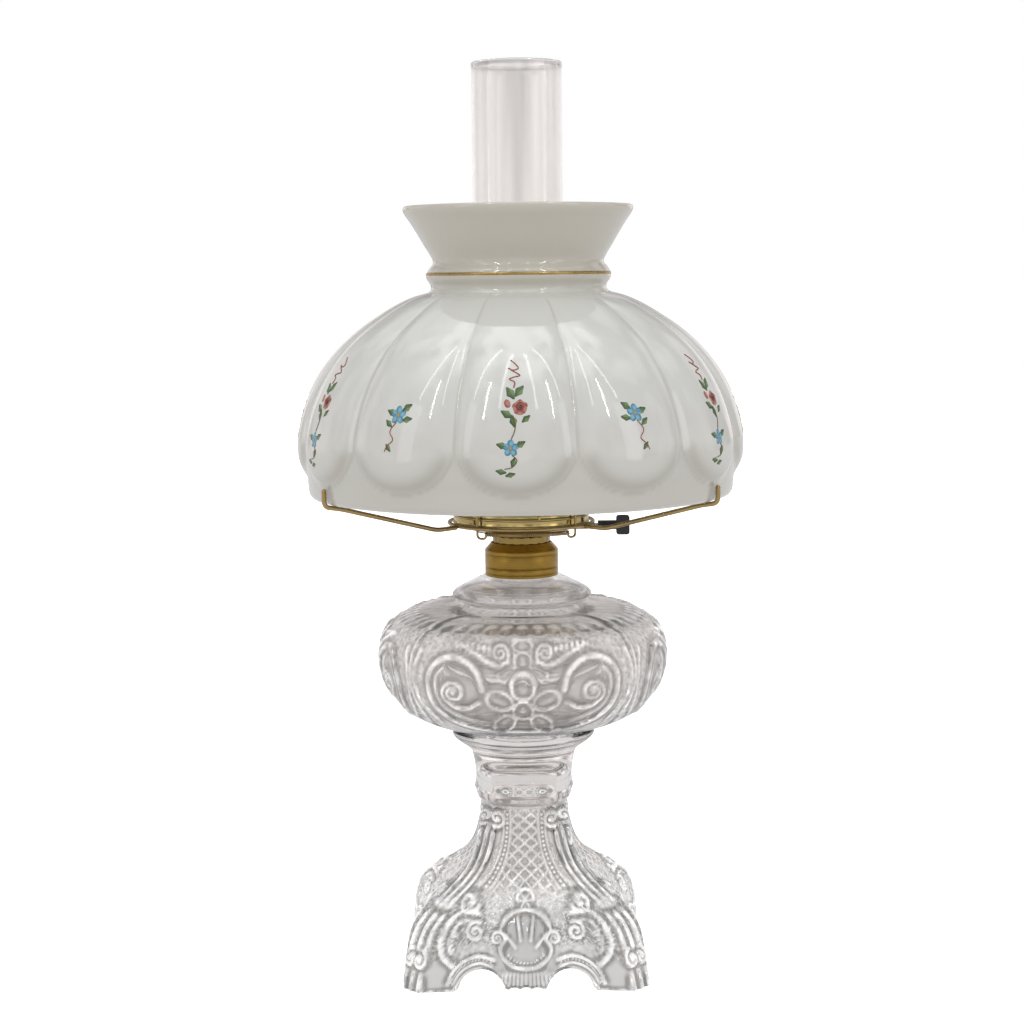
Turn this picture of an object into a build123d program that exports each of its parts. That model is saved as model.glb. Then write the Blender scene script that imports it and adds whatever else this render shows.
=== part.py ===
from build123d import *
import math
import os

# Table lamp in the style of an old oil lamp, with an electric socket in its burner.
# Millimetres. Z is up, the origin is on the lamp's axis at the surface it stands on, and the
# front is -Y. Azimuth is counted from the front, growing towards +X.

# ---- driving dimensions -------------------------------------------------------------------
LAMP_HEIGHT = 540.0           # feet to the top rim of the chimney

# glass foot and font
FOOT_HALF = 72.0              # half the width of the square foot at the floor
FOOT_WALL = 6.0
PEDESTAL_TOP = 143.7          # where font and pedestal were joined hot
PEDESTAL_CEILING = 124.0      # top of the hollow in the pedestal
THROAT_Z = 95.0               # above it the pedestal is round, below it four-cornered
COLUMN_RADIUS = 30.0
ARCH_WIDTH = 30.0             # arches in the lower edge, two on each side
ARCH_HEIGHT = 12.0
ARCH_OFFSET = 27.0
FONT_RADIUS = 86.3
FONT_EQUATOR_Z = 188.8
FONT_WALL = 4.0
NECK_RADIUS = 19.4            # glass neck under the brass collar
NECK_BORE = 16.6
NECK_TOP = 243.0

# brass collar and burner
COLLAR_RADIUS = 22.0
COLLAR_BOTTOM = 235.2
COLLAR_TOP = 255.0
THREAD_RADIUS = 16.0
THREAD_CLEARANCE = 0.3
THIMBLE_RADIUS = 17.2
GALLERY_FLOOR = 261.0
GALLERY_TOP = 275.0
GALLERY_RADIUS = 41.0
GALLERY_WALL = 1.0
DECK_TOP = 272.0              # the chimney stands on it
DECK_THICKNESS = 1.2

# electric socket and turn key
SOCKET_RADIUS = 18.5
SOCKET_TOP = 299.0
SHELL_RADIUS = 13.3           # inside of the screw shell, for a 26 mm lamp cap
KEY_Z = 264.5
STEM_RADIUS = 1.2
KEY_SHAFT_RADIUS = 2.8
ROTOR_RADIUS = 2.1
SCREW_Z = 266.0
RUNNING_GAP = 0.05
CORD_BORE_RADIUS = 3.2        # for a 6 mm cord
CORD_AZIMUTH = 225.0
CORD_Z = 261.0
CORD_START = 24.0             # the liner's two ends, from the axis
CORD_END = 35.0

# chimney and bulb
CHIMNEY_FOOT_RADIUS = 37.9    # three-inch fitter
CHIMNEY_TUBE_RADIUS = 26.5
CHIMNEY_WALL = 1.8
BULB_RADIUS = 15.9
BULB_TOP = 396.0
CAP_RADIUS = 13.0

# shade and its wire holder
SHADE_RIM_RADIUS = 125.0      # sits in a ten-inch holder
SHADE_RIM_Z = 285.0
SHADE_TOP_RADIUS = 68.0
SHADE_TOP_Z = 454.5
SHADE_NECK_Z = 404.2          # foot of the neck, where the lobes end
SHADE_WALL = 4.0
LOBES = 12
WIRE_RADIUS = 1.4
RING_RADIUS = 43.1
RING_Z = 267.2
RING_WIRE_RADIUS = 1.2
HOOK_RADIUS = 129.0
HOOK_TOP = 294.7
ARM_AZIMUTHS = {"left": -60.0, "right": 60.0, "rear": 180.0}
CLIP_AZIMUTHS = [(-37.0, 1), (48.0, -1), (152.0, 1)]
SPRING_Z = 264.6

PRONG_AZIMUTHS = [15.0, 105.0, 195.0, 285.0]


# ---- helpers -------------------------------------------------------------------------------
def turned(*outline):
    """Solid of revolution about Z from straight-sided (radius, height) corners."""
    corners = [(r, 0, z) for r, z in outline]
    return revolve(make_face(Polyline(*corners, close=True)), Axis.Z, 360)


def turned_curve(*pieces):
    """Solid of revolution about Z from open stretches, each "line" or "curve" with its points."""
    edges = []
    for kind, points in pieces:
        corners = [(r, 0, z) for r, z in points]
        edges.append(Polyline(*corners) if kind == "line" else Spline(*corners))
    return revolve(make_face(edges), Axis.Z, 360)


def at_azimuth(piece, azimuth):
    """Turns a piece built on the +X side to its azimuth, counted from the front."""
    return Rot(0, 0, azimuth - 90) * piece


def wire(points, corner, radius):
    """Round wire along straight runs in the XZ plane, with rounded corners."""
    path = FilletPolyline(*[(x, 0, z) for x, z in points], radius=corner)
    start = Plane(origin=path @ 0, z_dir=path % 0)
    return sweep(start * Circle(radius), path=path)


def rod(radius, x_from, x_to, z, y=0.0):
    """Round bar along X."""
    return Pos(x_from, y, z) * Rot(0, 90, 0) * Cylinder(
        radius, x_to - x_from, align=(Align.CENTER, Align.CENTER, Align.MIN)
    )


def post(radius, z_from, z_to, x=0.0, y=0.0):
    """Round bar along Z."""
    return Pos(x, y, z_from) * Cylinder(
        radius, z_to - z_from, align=(Align.CENTER, Align.CENTER, Align.MIN)
    )


def block(x, y, z):
    """Box from three (low, high) pairs."""
    size = [high - low for low, high in (x, y, z)]
    centre = [(high + low) / 2 for low, high in (x, y, z)]
    return Pos(*centre) * Box(*size)


# ---- glass body ----------------------------------------------------------------------------
# Heights down the four-cornered part: the middle of a side, the widest line beside a corner
# and the middle of the bevelled corner, as distances from the axis.
FOOT_LEVELS = [
    (THROAT_Z, 26.5, 26.5, 27.6),
    (80.0, 27.0, 27.5, 32.2),
    (68.0, 30.0, 31.5, 36.0),
    (57.0, 35.5, 43.0, 43.5),
    (46.0, 43.0, 56.0, 60.0),
    (34.0, 51.5, 66.0, 81.0),
    (17.0, 61.0, 71.0, 90.5),
    (0.0, 67.0, FOOT_HALF, 96.0),
]


def foot_section(z, middle, side, corner, inset):
    """Twelve-cornered outline of the foot: recessed sides and bevelled corners."""
    middle = middle - inset
    side = side - inset
    bevel = 2 * side - (corner - inset) * math.sqrt(2)
    ring = []
    for quarter in range(4):
        for x, y in ((middle, 0.0), (side, side - bevel), (side - bevel, side)):
            for _ in range(quarter):
                x, y = -y, x
            ring.append((x, y, z))
    return make_face(Polyline(*ring, close=True))


def foot_body(inset):
    return loft([foot_section(*level, inset) for level in FOOT_LEVELS], ruled=True)


def arch():
    """One arch in the lower edge, cut right through along Y."""
    half = ARCH_WIDTH / 2
    outline = [Line((-half, 0, -1), (half, 0, -1))]
    outline.append(Line((half, 0, -1), (half, 0, 2)))
    outline.append(ThreePointArc((half, 0, 2), (0, 0, ARCH_HEIGHT), (-half, 0, 2)))
    outline.append(Line((-half, 0, 2), (-half, 0, -1)))
    return extrude(make_face(outline), FOOT_HALF + 10, both=True)


def pedestal():
    """Pressed glass foot: four legs, a waist and the cup that carries the font."""
    upper = turned(
        (0, THROAT_Z), (26.5, THROAT_Z), (27.4, 98.7), (29.0, 102.4), (COLUMN_RADIUS, 106.0),
        (29.2, 110.0), (29.2, 115.0), (COLUMN_RADIUS + 0.7, 124.8), (31.6, 128.6),
        (35.3, 132.4), (40.0, 136.0), (43.0, 139.0), (43.0, 141.0), (40.0, PEDESTAL_TOP),
        (0, PEDESTAL_TOP),
    )
    hollow = foot_body(FOOT_WALL) + post(20.0, THROAT_Z - 1, PEDESTAL_CEILING)
    glass = foot_body(0.0) + upper - hollow
    for side in (-1, 1):
        glass -= Pos(side * ARCH_OFFSET, 0, 0) * arch()
        glass -= Rot(0, 0, 90) * Pos(side * ARCH_OFFSET, 0, 0) * arch()
    return glass


def font():
    """Glass reservoir: round belly, flat shoulder, small dome and the neck for the collar."""
    outer = turned_curve(
        ("line", [(0, NECK_TOP), (NECK_RADIUS, NECK_TOP), (NECK_RADIUS, 235.0), (23.0, 235.0)]),
        ("curve", [(23.0, 235.0), (32.2, 231.4), (40.4, 226.2), (41.2, 222.5), (33.8, 218.5)]),
        ("line", [(33.8, 218.5), (36.0, 216.4), (66.5, 213.4)]),
        ("curve", [(66.5, 213.4), (77.0, 209.0), (84.7, 198.0), (FONT_RADIUS, FONT_EQUATOR_Z),
                   (83.4, 174.1), (75.0, 161.0), (60.0, 149.4), (40.0, PEDESTAL_TOP)]),
        ("line", [(40.0, PEDESTAL_TOP), (0, PEDESTAL_TOP), (0, NECK_TOP)]),
    )
    inner_belly = FONT_RADIUS - FONT_WALL
    inner = turned_curve(
        ("line", [(0, NECK_TOP + 1), (NECK_BORE, NECK_TOP + 1), (NECK_BORE, 231.0)]),
        ("curve", [(NECK_BORE, 231.0), (28.0, 228.6), (36.6, 224.6), (36.0, 221.6),
                   (29.6, 217.6)]),
        ("line", [(29.6, 217.6), (31.0, 213.0), (62.0, 209.6)]),
        ("curve", [(62.0, 209.6), (74.0, 205.0), (80.6, 197.0), (inner_belly, FONT_EQUATOR_Z),
                   (79.2, 175.4), (71.0, 163.4), (57.0, 153.2), (38.0, 148.2)]),
        ("line", [(38.0, 148.2), (0, 148.2), (0, NECK_TOP + 1)]),
    )
    return outer - inner


# ---- collar --------------------------------------------------------------------------------
SKIRT_BORE = NECK_RADIUS + 1.0


def collar():
    """Turned brass collar with the thread that the burner screws into."""
    return turned(
        (SKIRT_BORE, COLLAR_BOTTOM), (COLLAR_RADIUS, COLLAR_BOTTOM), (COLLAR_RADIUS, 240.2),
        (COLLAR_RADIUS - 0.3, 240.5), (COLLAR_RADIUS, 240.8), (COLLAR_RADIUS, 251.0),
        (18.4, COLLAR_TOP), (THIMBLE_RADIUS + 0.3, COLLAR_TOP), (THIMBLE_RADIUS + 0.3, 253.0),
        (THREAD_RADIUS, 253.0), (THREAD_RADIUS, NECK_TOP + 1), (SKIRT_BORE, NECK_TOP + 1),
    )


def collar_cement():
    """Plaster that holds the collar on the glass neck."""
    return turned(
        (NECK_RADIUS, COLLAR_BOTTOM + 1), (SKIRT_BORE, COLLAR_BOTTOM + 1),
        (SKIRT_BORE, NECK_TOP + 1), (NECK_BORE, NECK_TOP + 1), (NECK_BORE, NECK_TOP),
        (NECK_RADIUS, NECK_TOP),
    )


# ---- burner --------------------------------------------------------------------------------
NIPPLE_RADIUS = 4.8
NIPPLE_BORE = 3.6
FLOOR_TOP = GALLERY_FLOOR + GALLERY_WALL
LINER_RADIUS = 3.9
KEY_SLEEVE_RADIUS = 2.4
KEY_SLEEVE = (25.0, 40.2)       # its two ends along X


def burner_thimble():
    """Brass cup with the male thread, closed on top where the gallery sits."""
    thread = THREAD_RADIUS - THREAD_CLEARANCE
    return turned(
        (thread - 1.2, 244.5), (thread, 244.5), (thread, 253.3), (THIMBLE_RADIUS, 253.3),
        (THIMBLE_RADIUS, 258.8), (THIMBLE_RADIUS + 0.8, 259.6), (THIMBLE_RADIUS + 0.8, GALLERY_FLOOR),
        (NIPPLE_RADIUS, GALLERY_FLOOR), (NIPPLE_RADIUS, GALLERY_FLOOR - 1.2),
        (THIMBLE_RADIUS - 1.2, GALLERY_FLOOR - 1.2), (THIMBLE_RADIUS - 1.2, 254.0),
        (thread - 1.2, 254.0),
    )


def gallery():
    """Pressed brass dish and band around the chimney's foot, cut for the key and the cord."""
    inside = GALLERY_RADIUS - GALLERY_WALL
    cup = turned(
        (NIPPLE_RADIUS, GALLERY_FLOOR), (21.0, GALLERY_FLOOR), (36.5, 264.8), (39.6, 265.7),
        (40.6, 267.0), (GALLERY_RADIUS, 267.4), (GALLERY_RADIUS, GALLERY_TOP),
        (inside, GALLERY_TOP), (inside, 267.8), (38.9, 266.6), (36.2, 265.8),
        (20.8, FLOOR_TOP), (NIPPLE_RADIUS, FLOOR_TOP),
    )
    cup -= rod(KEY_SLEEVE_RADIUS, *KEY_SLEEVE, KEY_Z)
    cup -= at_azimuth(rod(LINER_RADIUS, CORD_START - 2, CORD_END, CORD_Z), CORD_AZIMUTH)
    for azimuth in PRONG_AZIMUTHS:
        cup -= at_azimuth(rod(0.9, 38.0, 43.0, 273.6), azimuth)
    return cup


def chimney_deck():
    """Pierced brass plate that the chimney stands on."""
    deck = turned(
        (SOCKET_RADIUS, DECK_TOP - DECK_THICKNESS), (40.0, DECK_TOP - DECK_THICKNESS),
        (40.0, DECK_TOP), (SOCKET_RADIUS, DECK_TOP),
    )
    for radius, count in ((23.0, 18), (29.0, 24)):
        for step in range(count):
            angle = 2 * math.pi * step / count
            deck -= post(1.5, 270, 273, radius * math.cos(angle), radius * math.sin(angle))
    return deck


def chimney_prongs():
    """Four spring prongs riveted inside the gallery wall."""
    outline = [
        (40.0, DECK_TOP), (40.0, 275.4), (39.0, 277.0), (39.0, 280.6), (40.6, 284.0),
        (40.0, 284.2), (38.4, 280.8), (38.4, 276.6), (39.4, 275.0), (39.4, DECK_TOP),
    ]
    blank = turned(*outline)
    prongs = []
    for azimuth in PRONG_AZIMUTHS:
        prong = blank & at_azimuth(block((30, 50), (-4, 4), (265, 290)), azimuth)
        prongs.append(prong - at_azimuth(rod(0.9, 38.0, 43.0, 273.6), azimuth))
    return prongs


def prong_rivets():
    """Round-headed rivets of the prongs."""
    rivets = []
    for azimuth in PRONG_AZIMUTHS:
        rivets.append(at_azimuth(rod(0.9, 39.1, 41.45, 273.6), azimuth))
    return rivets


def mounting_nipple():
    """Threaded tube that joins thimble, gallery and socket."""
    return post(NIPPLE_RADIUS, 252.0, 265.0) - post(NIPPLE_BORE, 251.0, 266.0)


def lock_nut():
    """Hexagon nut on the nipple, inside the thimble."""
    nut = extrude(Pos(0, 0, 256.3) * RegularPolygon(8.0, 6), 3.5)
    return nut - post(NIPPLE_RADIUS, 250.0, 262.0)


def socket_body():
    """Moulded insulator of the socket, with the switch chamber and the lamp's well."""
    body = post(SOCKET_RADIUS, FLOOR_TOP, SOCKET_TOP)
    body -= post(SHELL_RADIUS + 0.6, DECK_TOP - 1.0, SOCKET_TOP + 1)
    body -= post(NIPPLE_RADIUS, FLOOR_TOP - 1, 265.0)
    body -= rod(ROTOR_RADIUS + RUNNING_GAP, 6.0, 15.0 + RUNNING_GAP, KEY_Z)
    body -= rod(STEM_RADIUS + RUNNING_GAP, 14.0, 20.0, KEY_Z)
    body -= post(1.6, 267.5, 272.0)
    for turn in (90, 270):
        body -= Rot(0, 0, turn) * rod(1.5, 14.5, 20.0, SCREW_Z)
    return body


def socket_screw_shell():
    """Thin threaded brass shell, drawn plain, with a turned-in bottom edge."""
    outer = SHELL_RADIUS + 0.6
    return turned(
        (SHELL_RADIUS, 297.5), (outer, 297.5), (outer, DECK_TOP - 1.0), (10.5, DECK_TOP - 1.0),
        (10.5, DECK_TOP - 0.4), (SHELL_RADIUS, DECK_TOP - 0.4),
    )


def centre_contact():
    """Brass contact at the bottom of the well, on its rivet."""
    return post(1.6, 267.5, 271.0) + post(4.5, 271.0, 271.7)


def terminal_screws():
    """Two cheese-head screws on the insulator's sides, with slots."""
    screws = []
    for turn in (90, 270):
        screw = rod(1.5, 14.5, SOCKET_RADIUS, SCREW_Z) + rod(3.0, SOCKET_RADIUS, 20.3, SCREW_Z)
        screw -= block((19.6, 21.0), (-0.4, 0.4), (262.0, 270.0))
        screws.append(Rot(0, 0, turn) * screw)
    return screws


def key_bushing():
    """Brass sleeve that guides the key's stem through the gallery's dish."""
    sleeve = rod(KEY_SLEEVE_RADIUS, *KEY_SLEEVE, KEY_Z)
    return sleeve - rod(STEM_RADIUS + RUNNING_GAP, 20, 45, KEY_Z)


def cord_bushing():
    """Black bushing of the cord inlet, under the gallery's dish at the back left."""
    liner = rod(LINER_RADIUS, CORD_START, CORD_END, CORD_Z)
    liner -= rod(CORD_BORE_RADIUS, CORD_START - 1, CORD_END + 1, CORD_Z)
    return at_azimuth(liner, CORD_AZIMUTH)


# ---- turn key ------------------------------------------------------------------------------
KEY_START = 46.0
PADDLE_START = 57.0
PADDLE_END = 65.0
STEM_END = 51.0


def key_rotor():
    """Switch drum inside the insulator, with a flat on each side for the contacts."""
    drum = rod(ROTOR_RADIUS, 6.5, 15.0, KEY_Z) - rod(STEM_RADIUS, 10.0, 16.0, KEY_Z)
    for side in (-1, 1):
        drum -= Pos(9.0, side * 3.5, KEY_Z) * Box(4.0, 4.0, 9.0)
    return drum


def key_stem():
    """Steel stem from the switch drum to the key."""
    return rod(STEM_RADIUS, 10.0, STEM_END, KEY_Z)


def turn_key():
    """Black moulded key: round shank and a flat paddle with rounded corners."""
    shank = rod(KEY_SHAFT_RADIUS, KEY_START, PADDLE_START, KEY_Z)
    length = PADDLE_END - PADDLE_START
    paddle = Box(length, 3.4, 11.7)
    paddle = fillet(paddle.edges().filter_by(Axis.Y), 1.6)
    key = shank + Pos((PADDLE_START + PADDLE_END) / 2, 0, KEY_Z) * paddle
    return key - rod(STEM_RADIUS, KEY_START - 1, STEM_END, KEY_Z)


# ---- chimney and bulb ----------------------------------------------------------------------
def chimney():
    """Clear glass chimney: beaded foot, slight bulge, long straight tube."""
    chimney_top = LAMP_HEIGHT - 0.8
    foot = CHIMNEY_FOOT_RADIUS
    tube = CHIMNEY_TUBE_RADIUS
    wall = CHIMNEY_WALL
    base = DECK_TOP + 0.1
    bulge = [(foot - 0.4, 276.0), (foot - 1.2, 280.0), (foot - 0.4, 296.0), (34.2, 326.0),
             (28.6, 362.0), (tube, 400.0)]
    inside = [(r - wall, z) for r, z in reversed(bulge)]
    top_bead = [(tube, chimney_top), (tube + 0.3, chimney_top + 0.4), (tube, chimney_top + 0.8),
                (tube - wall, chimney_top + 0.8)]
    return turned_curve(
        ("line", [(foot - wall - 0.4, base), (foot - 0.3, base), (foot, base + 0.5),
                  (foot, 275.4), bulge[0]]),
        ("curve", bulge),
        ("line", [bulge[-1]] + top_bead + [inside[0]]),
        ("curve", inside),
        ("line", [inside[-1], (foot - wall - 0.4, base)]),
    )


def bulb_glass():
    """Slim tubular bulb with a domed end and a narrow neck in its cap."""
    wall = 0.8
    outer_arc = BULB_TOP - BULB_RADIUS
    outer = post(BULB_RADIUS, 306.0, outer_arc) + Pos(0, 0, outer_arc) * Sphere(BULB_RADIUS)
    outer += turned((0, 291.0), (11.6, 291.0), (11.6, 300.5), (BULB_RADIUS, 306.0), (0, 306.0))
    inner = post(BULB_RADIUS - wall, 306.0, outer_arc)
    inner += Pos(0, 0, outer_arc) * Sphere(BULB_RADIUS - wall)
    inner += turned(
        (0, 292.0), (11.6 - wall, 292.0), (11.6 - wall, 300.8), (BULB_RADIUS - wall, 306.0),
        (0, 306.0),
    )
    return outer - inner


def bulb_cap():
    """Brass screw cap of the bulb, with its rounded threads."""
    steps = [(CAP_RADIUS, 300.0), (CAP_RADIUS, 297.6)]
    pitch = 3.6
    for turn in range(5):
        z = 297.0 - turn * pitch
        steps += [(CAP_RADIUS - 0.9, z), (CAP_RADIUS - 0.9, z - 0.8)]
        steps += [(CAP_RADIUS - 0.1, z - 1.6), (CAP_RADIUS - 0.1, z - 2.6)]
    inner = CAP_RADIUS - 1.4
    return turned(*steps, (8.0, 276.6), (6.8, 276.6), (inner, 279.8), (inner, 300.0))


def bulb_tip():
    """Black glass insulator and the solder contact at the bulb's foot."""
    return turned((0, 272.4), (3.6, 272.4), (4.4, 273.6), (6.8, 276.6), (6.8, 277.6), (0, 277.6))


def filament_mount():
    """Glass stem and the two lead wires inside the bulb."""
    stem = turned((0, 292.0), (5.5, 292.0), (3.0, 300.0), (2.2, 322.0), (0, 322.0))
    wires = [post(0.5, 318.0, 345.0, side * 1.4, 0) for side in (-1, 1)]
    return stem + wires[0] + wires[1] + post(0.4, 320.0, 352.0)


def filament():
    """Coiled filament in a long hairpin above the mount."""
    legs = [post(0.6, 345.0, 378.0, side * 1.4, 0) for side in (-1, 1)]
    top = Pos(0, 0, 378.0) * block((-2.0, 2.0), (-0.6, 0.6), (0.0, 1.2))
    return legs[0] + legs[1] + top


# ---- shade ---------------------------------------------------------------------------------
# Dome levels: height, radius over the lobes, depth of the grooves between them.
DOME_LEVELS = [
    (SHADE_RIM_Z, SHADE_RIM_RADIUS, 0.0), (289.5, 126.1, 0.0), (294.2, 126.6, 0.0),
    (299.0, 128.9, 1.2), (305.0, 131.7, 3.4), (312.0, 133.2, 4.6), (320.0, 132.8, 4.8),
    (330.0, 131.0, 4.8), (342.0, 126.8, 4.8), (356.0, 119.6, 4.6), (369.0, 109.9, 4.2),
    (380.0, 98.4, 3.8), (390.0, 84.8, 3.2), (397.0, 73.4, 2.4), (401.5, 63.0, 1.0),
    (SHADE_NECK_Z, 53.8, 0.0),
]


def lobed_ring(z, radius, groove):
    """Closed wavy outline with a lobe facing the front and a groove between each pair."""
    points = []
    count = LOBES * 4
    for step in range(count):
        angle = 2 * math.pi * step / count
        r = radius - groove * (1 - math.cos(LOBES * angle)) / 2
        points.append((r * math.cos(angle), r * math.sin(angle), z))
    return make_face(Spline(*points, periodic=True))


def dome_inside():
    """Dome levels moved in by the wall, square to the outline."""
    levels = []
    for i, (z, radius, groove) in enumerate(DOME_LEVELS):
        below = DOME_LEVELS[max(i - 1, 0)]
        above = DOME_LEVELS[min(i + 1, len(DOME_LEVELS) - 1)]
        rise = above[0] - below[0]
        run = above[1] - below[1]
        length = math.hypot(rise, run)
        levels.append((z + SHADE_WALL * run / length, radius - SHADE_WALL * rise / length, groove))
    first = levels[0]
    return [(SHADE_RIM_Z - 1.0, first[1], 0.0)] + levels[1:-1]


def shade():
    """Opal glass shade: twelve lobes, a plain rim, a collar ridge and a flared crown."""
    neck = [(51.8, SHADE_NECK_Z - 6.0), (51.8, 407.7), (53.8, 411.2), (54.4, 414.7), (52.6, 418.3),
            (50.5, 421.8), (52.0, 425.3), (58.1, 435.8), (64.5, 446.3), (67.1, 450.0),
            (SHADE_TOP_RADIUS, SHADE_TOP_Z - 1.5), (SHADE_TOP_RADIUS - 1.0, SHADE_TOP_Z)]
    solid = loft([lobed_ring(*level) for level in DOME_LEVELS])
    solid += turned((0, SHADE_NECK_Z - 6.0), *neck, (0, SHADE_TOP_Z))
    hollow = loft([lobed_ring(*level) for level in dome_inside()])
    hollow += turned(
        (0, 390.0), (47.6, 390.0), (47.6, 421.5), (63.6, 449.0), (64.6, SHADE_TOP_Z + 1),
        (0, SHADE_TOP_Z + 1),
    )
    return solid - hollow


# ---- wire holder ---------------------------------------------------------------------------
def holder_ring():
    """Brass wire ring that lies round the gallery."""
    return Pos(0, 0, RING_Z) * Torus(RING_RADIUS, RING_WIRE_RADIUS)


def holder_arm():
    """One bent wire arm, from the ring out to the hook that keeps the shade's rim."""
    route = [
        (RING_RADIUS + 0.2, RING_Z - 0.6), (57.0, 265.9), (119.0, 282.6),
        (HOOK_RADIUS, 284.2), (HOOK_RADIUS, HOOK_TOP),
    ]
    return wire(route, 2.2, WIRE_RADIUS)


def holder_clips():
    """Three wire clips that hook over the gallery's edge and end in a small loop."""
    clips = []
    for azimuth, turn in CLIP_AZIMUTHS:
        hook = wire(
            [(39.0, 273.4), (39.0, 276.6), (42.6, 276.6), (42.6, 265.0)], 1.2, 0.7
        )
        loop = FilletPolyline(
            (42.6, 0, 265.0), (42.6, 0, 261.4), (42.6, turn * 6.0, 261.4),
            (42.6, turn * 6.0, 265.6), radius=2.4,
        )
        start = Plane(origin=loop @ 0, z_dir=loop % 0)
        clips.append(at_azimuth(hook + sweep(start * Circle(0.7), path=loop), azimuth))
    return clips


def holder_spring():
    """Coil spring between the two front loops, as its envelope."""
    first, second = CLIP_AZIMUTHS[0][0] + 8, CLIP_AZIMUTHS[1][0] - 8
    section = Plane.XZ * Pos(42.6, SPRING_Z) * Circle(1.15)
    return Rot(0, 0, first - 90) * revolve(section, Axis.Z, second - first)


# ---- write every part ----------------------------------------------------------------------
def write(name, made):
    solids = made if isinstance(made, list) else [made]
    bodies = [solid for piece in solids for solid in piece.solids()]
    export_step(Compound(bodies) if len(bodies) > 1 else bodies[0], f"parts/{name}.step")


if __name__ == "__main__":
    os.makedirs("parts", exist_ok=True)
    for maker in (
        pedestal, font, collar, collar_cement, burner_thimble, gallery, chimney_deck,
        chimney_prongs, prong_rivets, mounting_nipple, lock_nut, socket_body,
        socket_screw_shell, centre_contact, terminal_screws, key_bushing, cord_bushing,
        key_rotor, key_stem, turn_key, chimney, bulb_glass, bulb_cap, bulb_tip,
        filament_mount, filament, shade, holder_ring, holder_clips, holder_spring,
    ):
        write(maker.__name__, maker())
    for place, azimuth in ARM_AZIMUTHS.items():
        write(f"holder_arm_{place}", at_azimuth(holder_arm(), azimuth))
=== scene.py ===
import math

import bpy
import numpy as np
from mathutils import Matrix


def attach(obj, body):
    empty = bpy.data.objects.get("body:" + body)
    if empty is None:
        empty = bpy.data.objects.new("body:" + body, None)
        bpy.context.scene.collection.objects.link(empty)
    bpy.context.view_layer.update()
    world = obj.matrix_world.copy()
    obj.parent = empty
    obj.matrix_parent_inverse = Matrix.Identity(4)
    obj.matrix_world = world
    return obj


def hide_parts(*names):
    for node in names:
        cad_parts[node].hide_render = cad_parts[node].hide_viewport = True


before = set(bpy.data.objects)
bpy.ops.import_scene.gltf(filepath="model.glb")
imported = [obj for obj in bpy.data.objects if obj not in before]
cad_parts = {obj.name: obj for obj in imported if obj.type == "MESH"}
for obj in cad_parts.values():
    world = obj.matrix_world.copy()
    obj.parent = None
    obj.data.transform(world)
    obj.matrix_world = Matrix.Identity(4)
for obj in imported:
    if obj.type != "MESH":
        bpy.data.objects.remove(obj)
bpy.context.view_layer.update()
scene = bpy.context.scene

# ---- The set -------------------------------------------------------------------------------
# A pale tabletop, a white surround and soft studio lamps: four tubes overhead, a tall window
# on each side, and two narrow strips that draw the streaks on the glaze.

EYE_DISTANCE = 1.2
EYE_HEIGHT = 0.414
LOOK_DOWN = math.radians(6.71)
LOOK_LEFT = math.radians(0.26)
LEAN = math.radians(-0.65)

eye = bpy.data.cameras.new("camera")
eye.lens = 70.8
eye.sensor_width = 36.0
eye.clip_start = 0.05
camera = bpy.data.objects.new("camera", eye)
aim = Matrix.Rotation(LOOK_LEFT, 4, "Z") @ Matrix.Rotation(math.pi / 2 - LOOK_DOWN, 4, "X")
camera.matrix_world = (
    Matrix.Translation((0, -EYE_DISTANCE, EYE_HEIGHT)) @ aim @ Matrix.Rotation(LEAN, 4, "Z")
)
scene.collection.objects.link(camera)
scene.camera = camera
scene.view_settings.view_transform = "Standard"
for limit in ("max_bounces", "transmission_bounces", "transparent_max_bounces"):
    setattr(scene.cycles, limit, 24)
scene.cycles.caustics_refractive = scene.cycles.caustics_reflective = False


class Value:
    """A shader socket; arithmetic on it adds Math nodes."""

    def __init__(self, finish, socket):
        self.finish = finish
        self.socket = socket

    def math(self, operation, *others):
        values = dict(enumerate((self, *others)))
        return self.finish.node("Math", {"operation": operation}, values)

    def __add__(self, other):
        return self.math("ADD", other)

    def __sub__(self, other):
        return self.math("SUBTRACT", other)

    def __rsub__(self, other):
        return self.finish.node("Math", {"operation": "SUBTRACT"}, {0: other, 1: self})

    def __mul__(self, other):
        return self.math("MULTIPLY", other)

    __radd__ = __add__
    __rmul__ = __mul__


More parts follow.
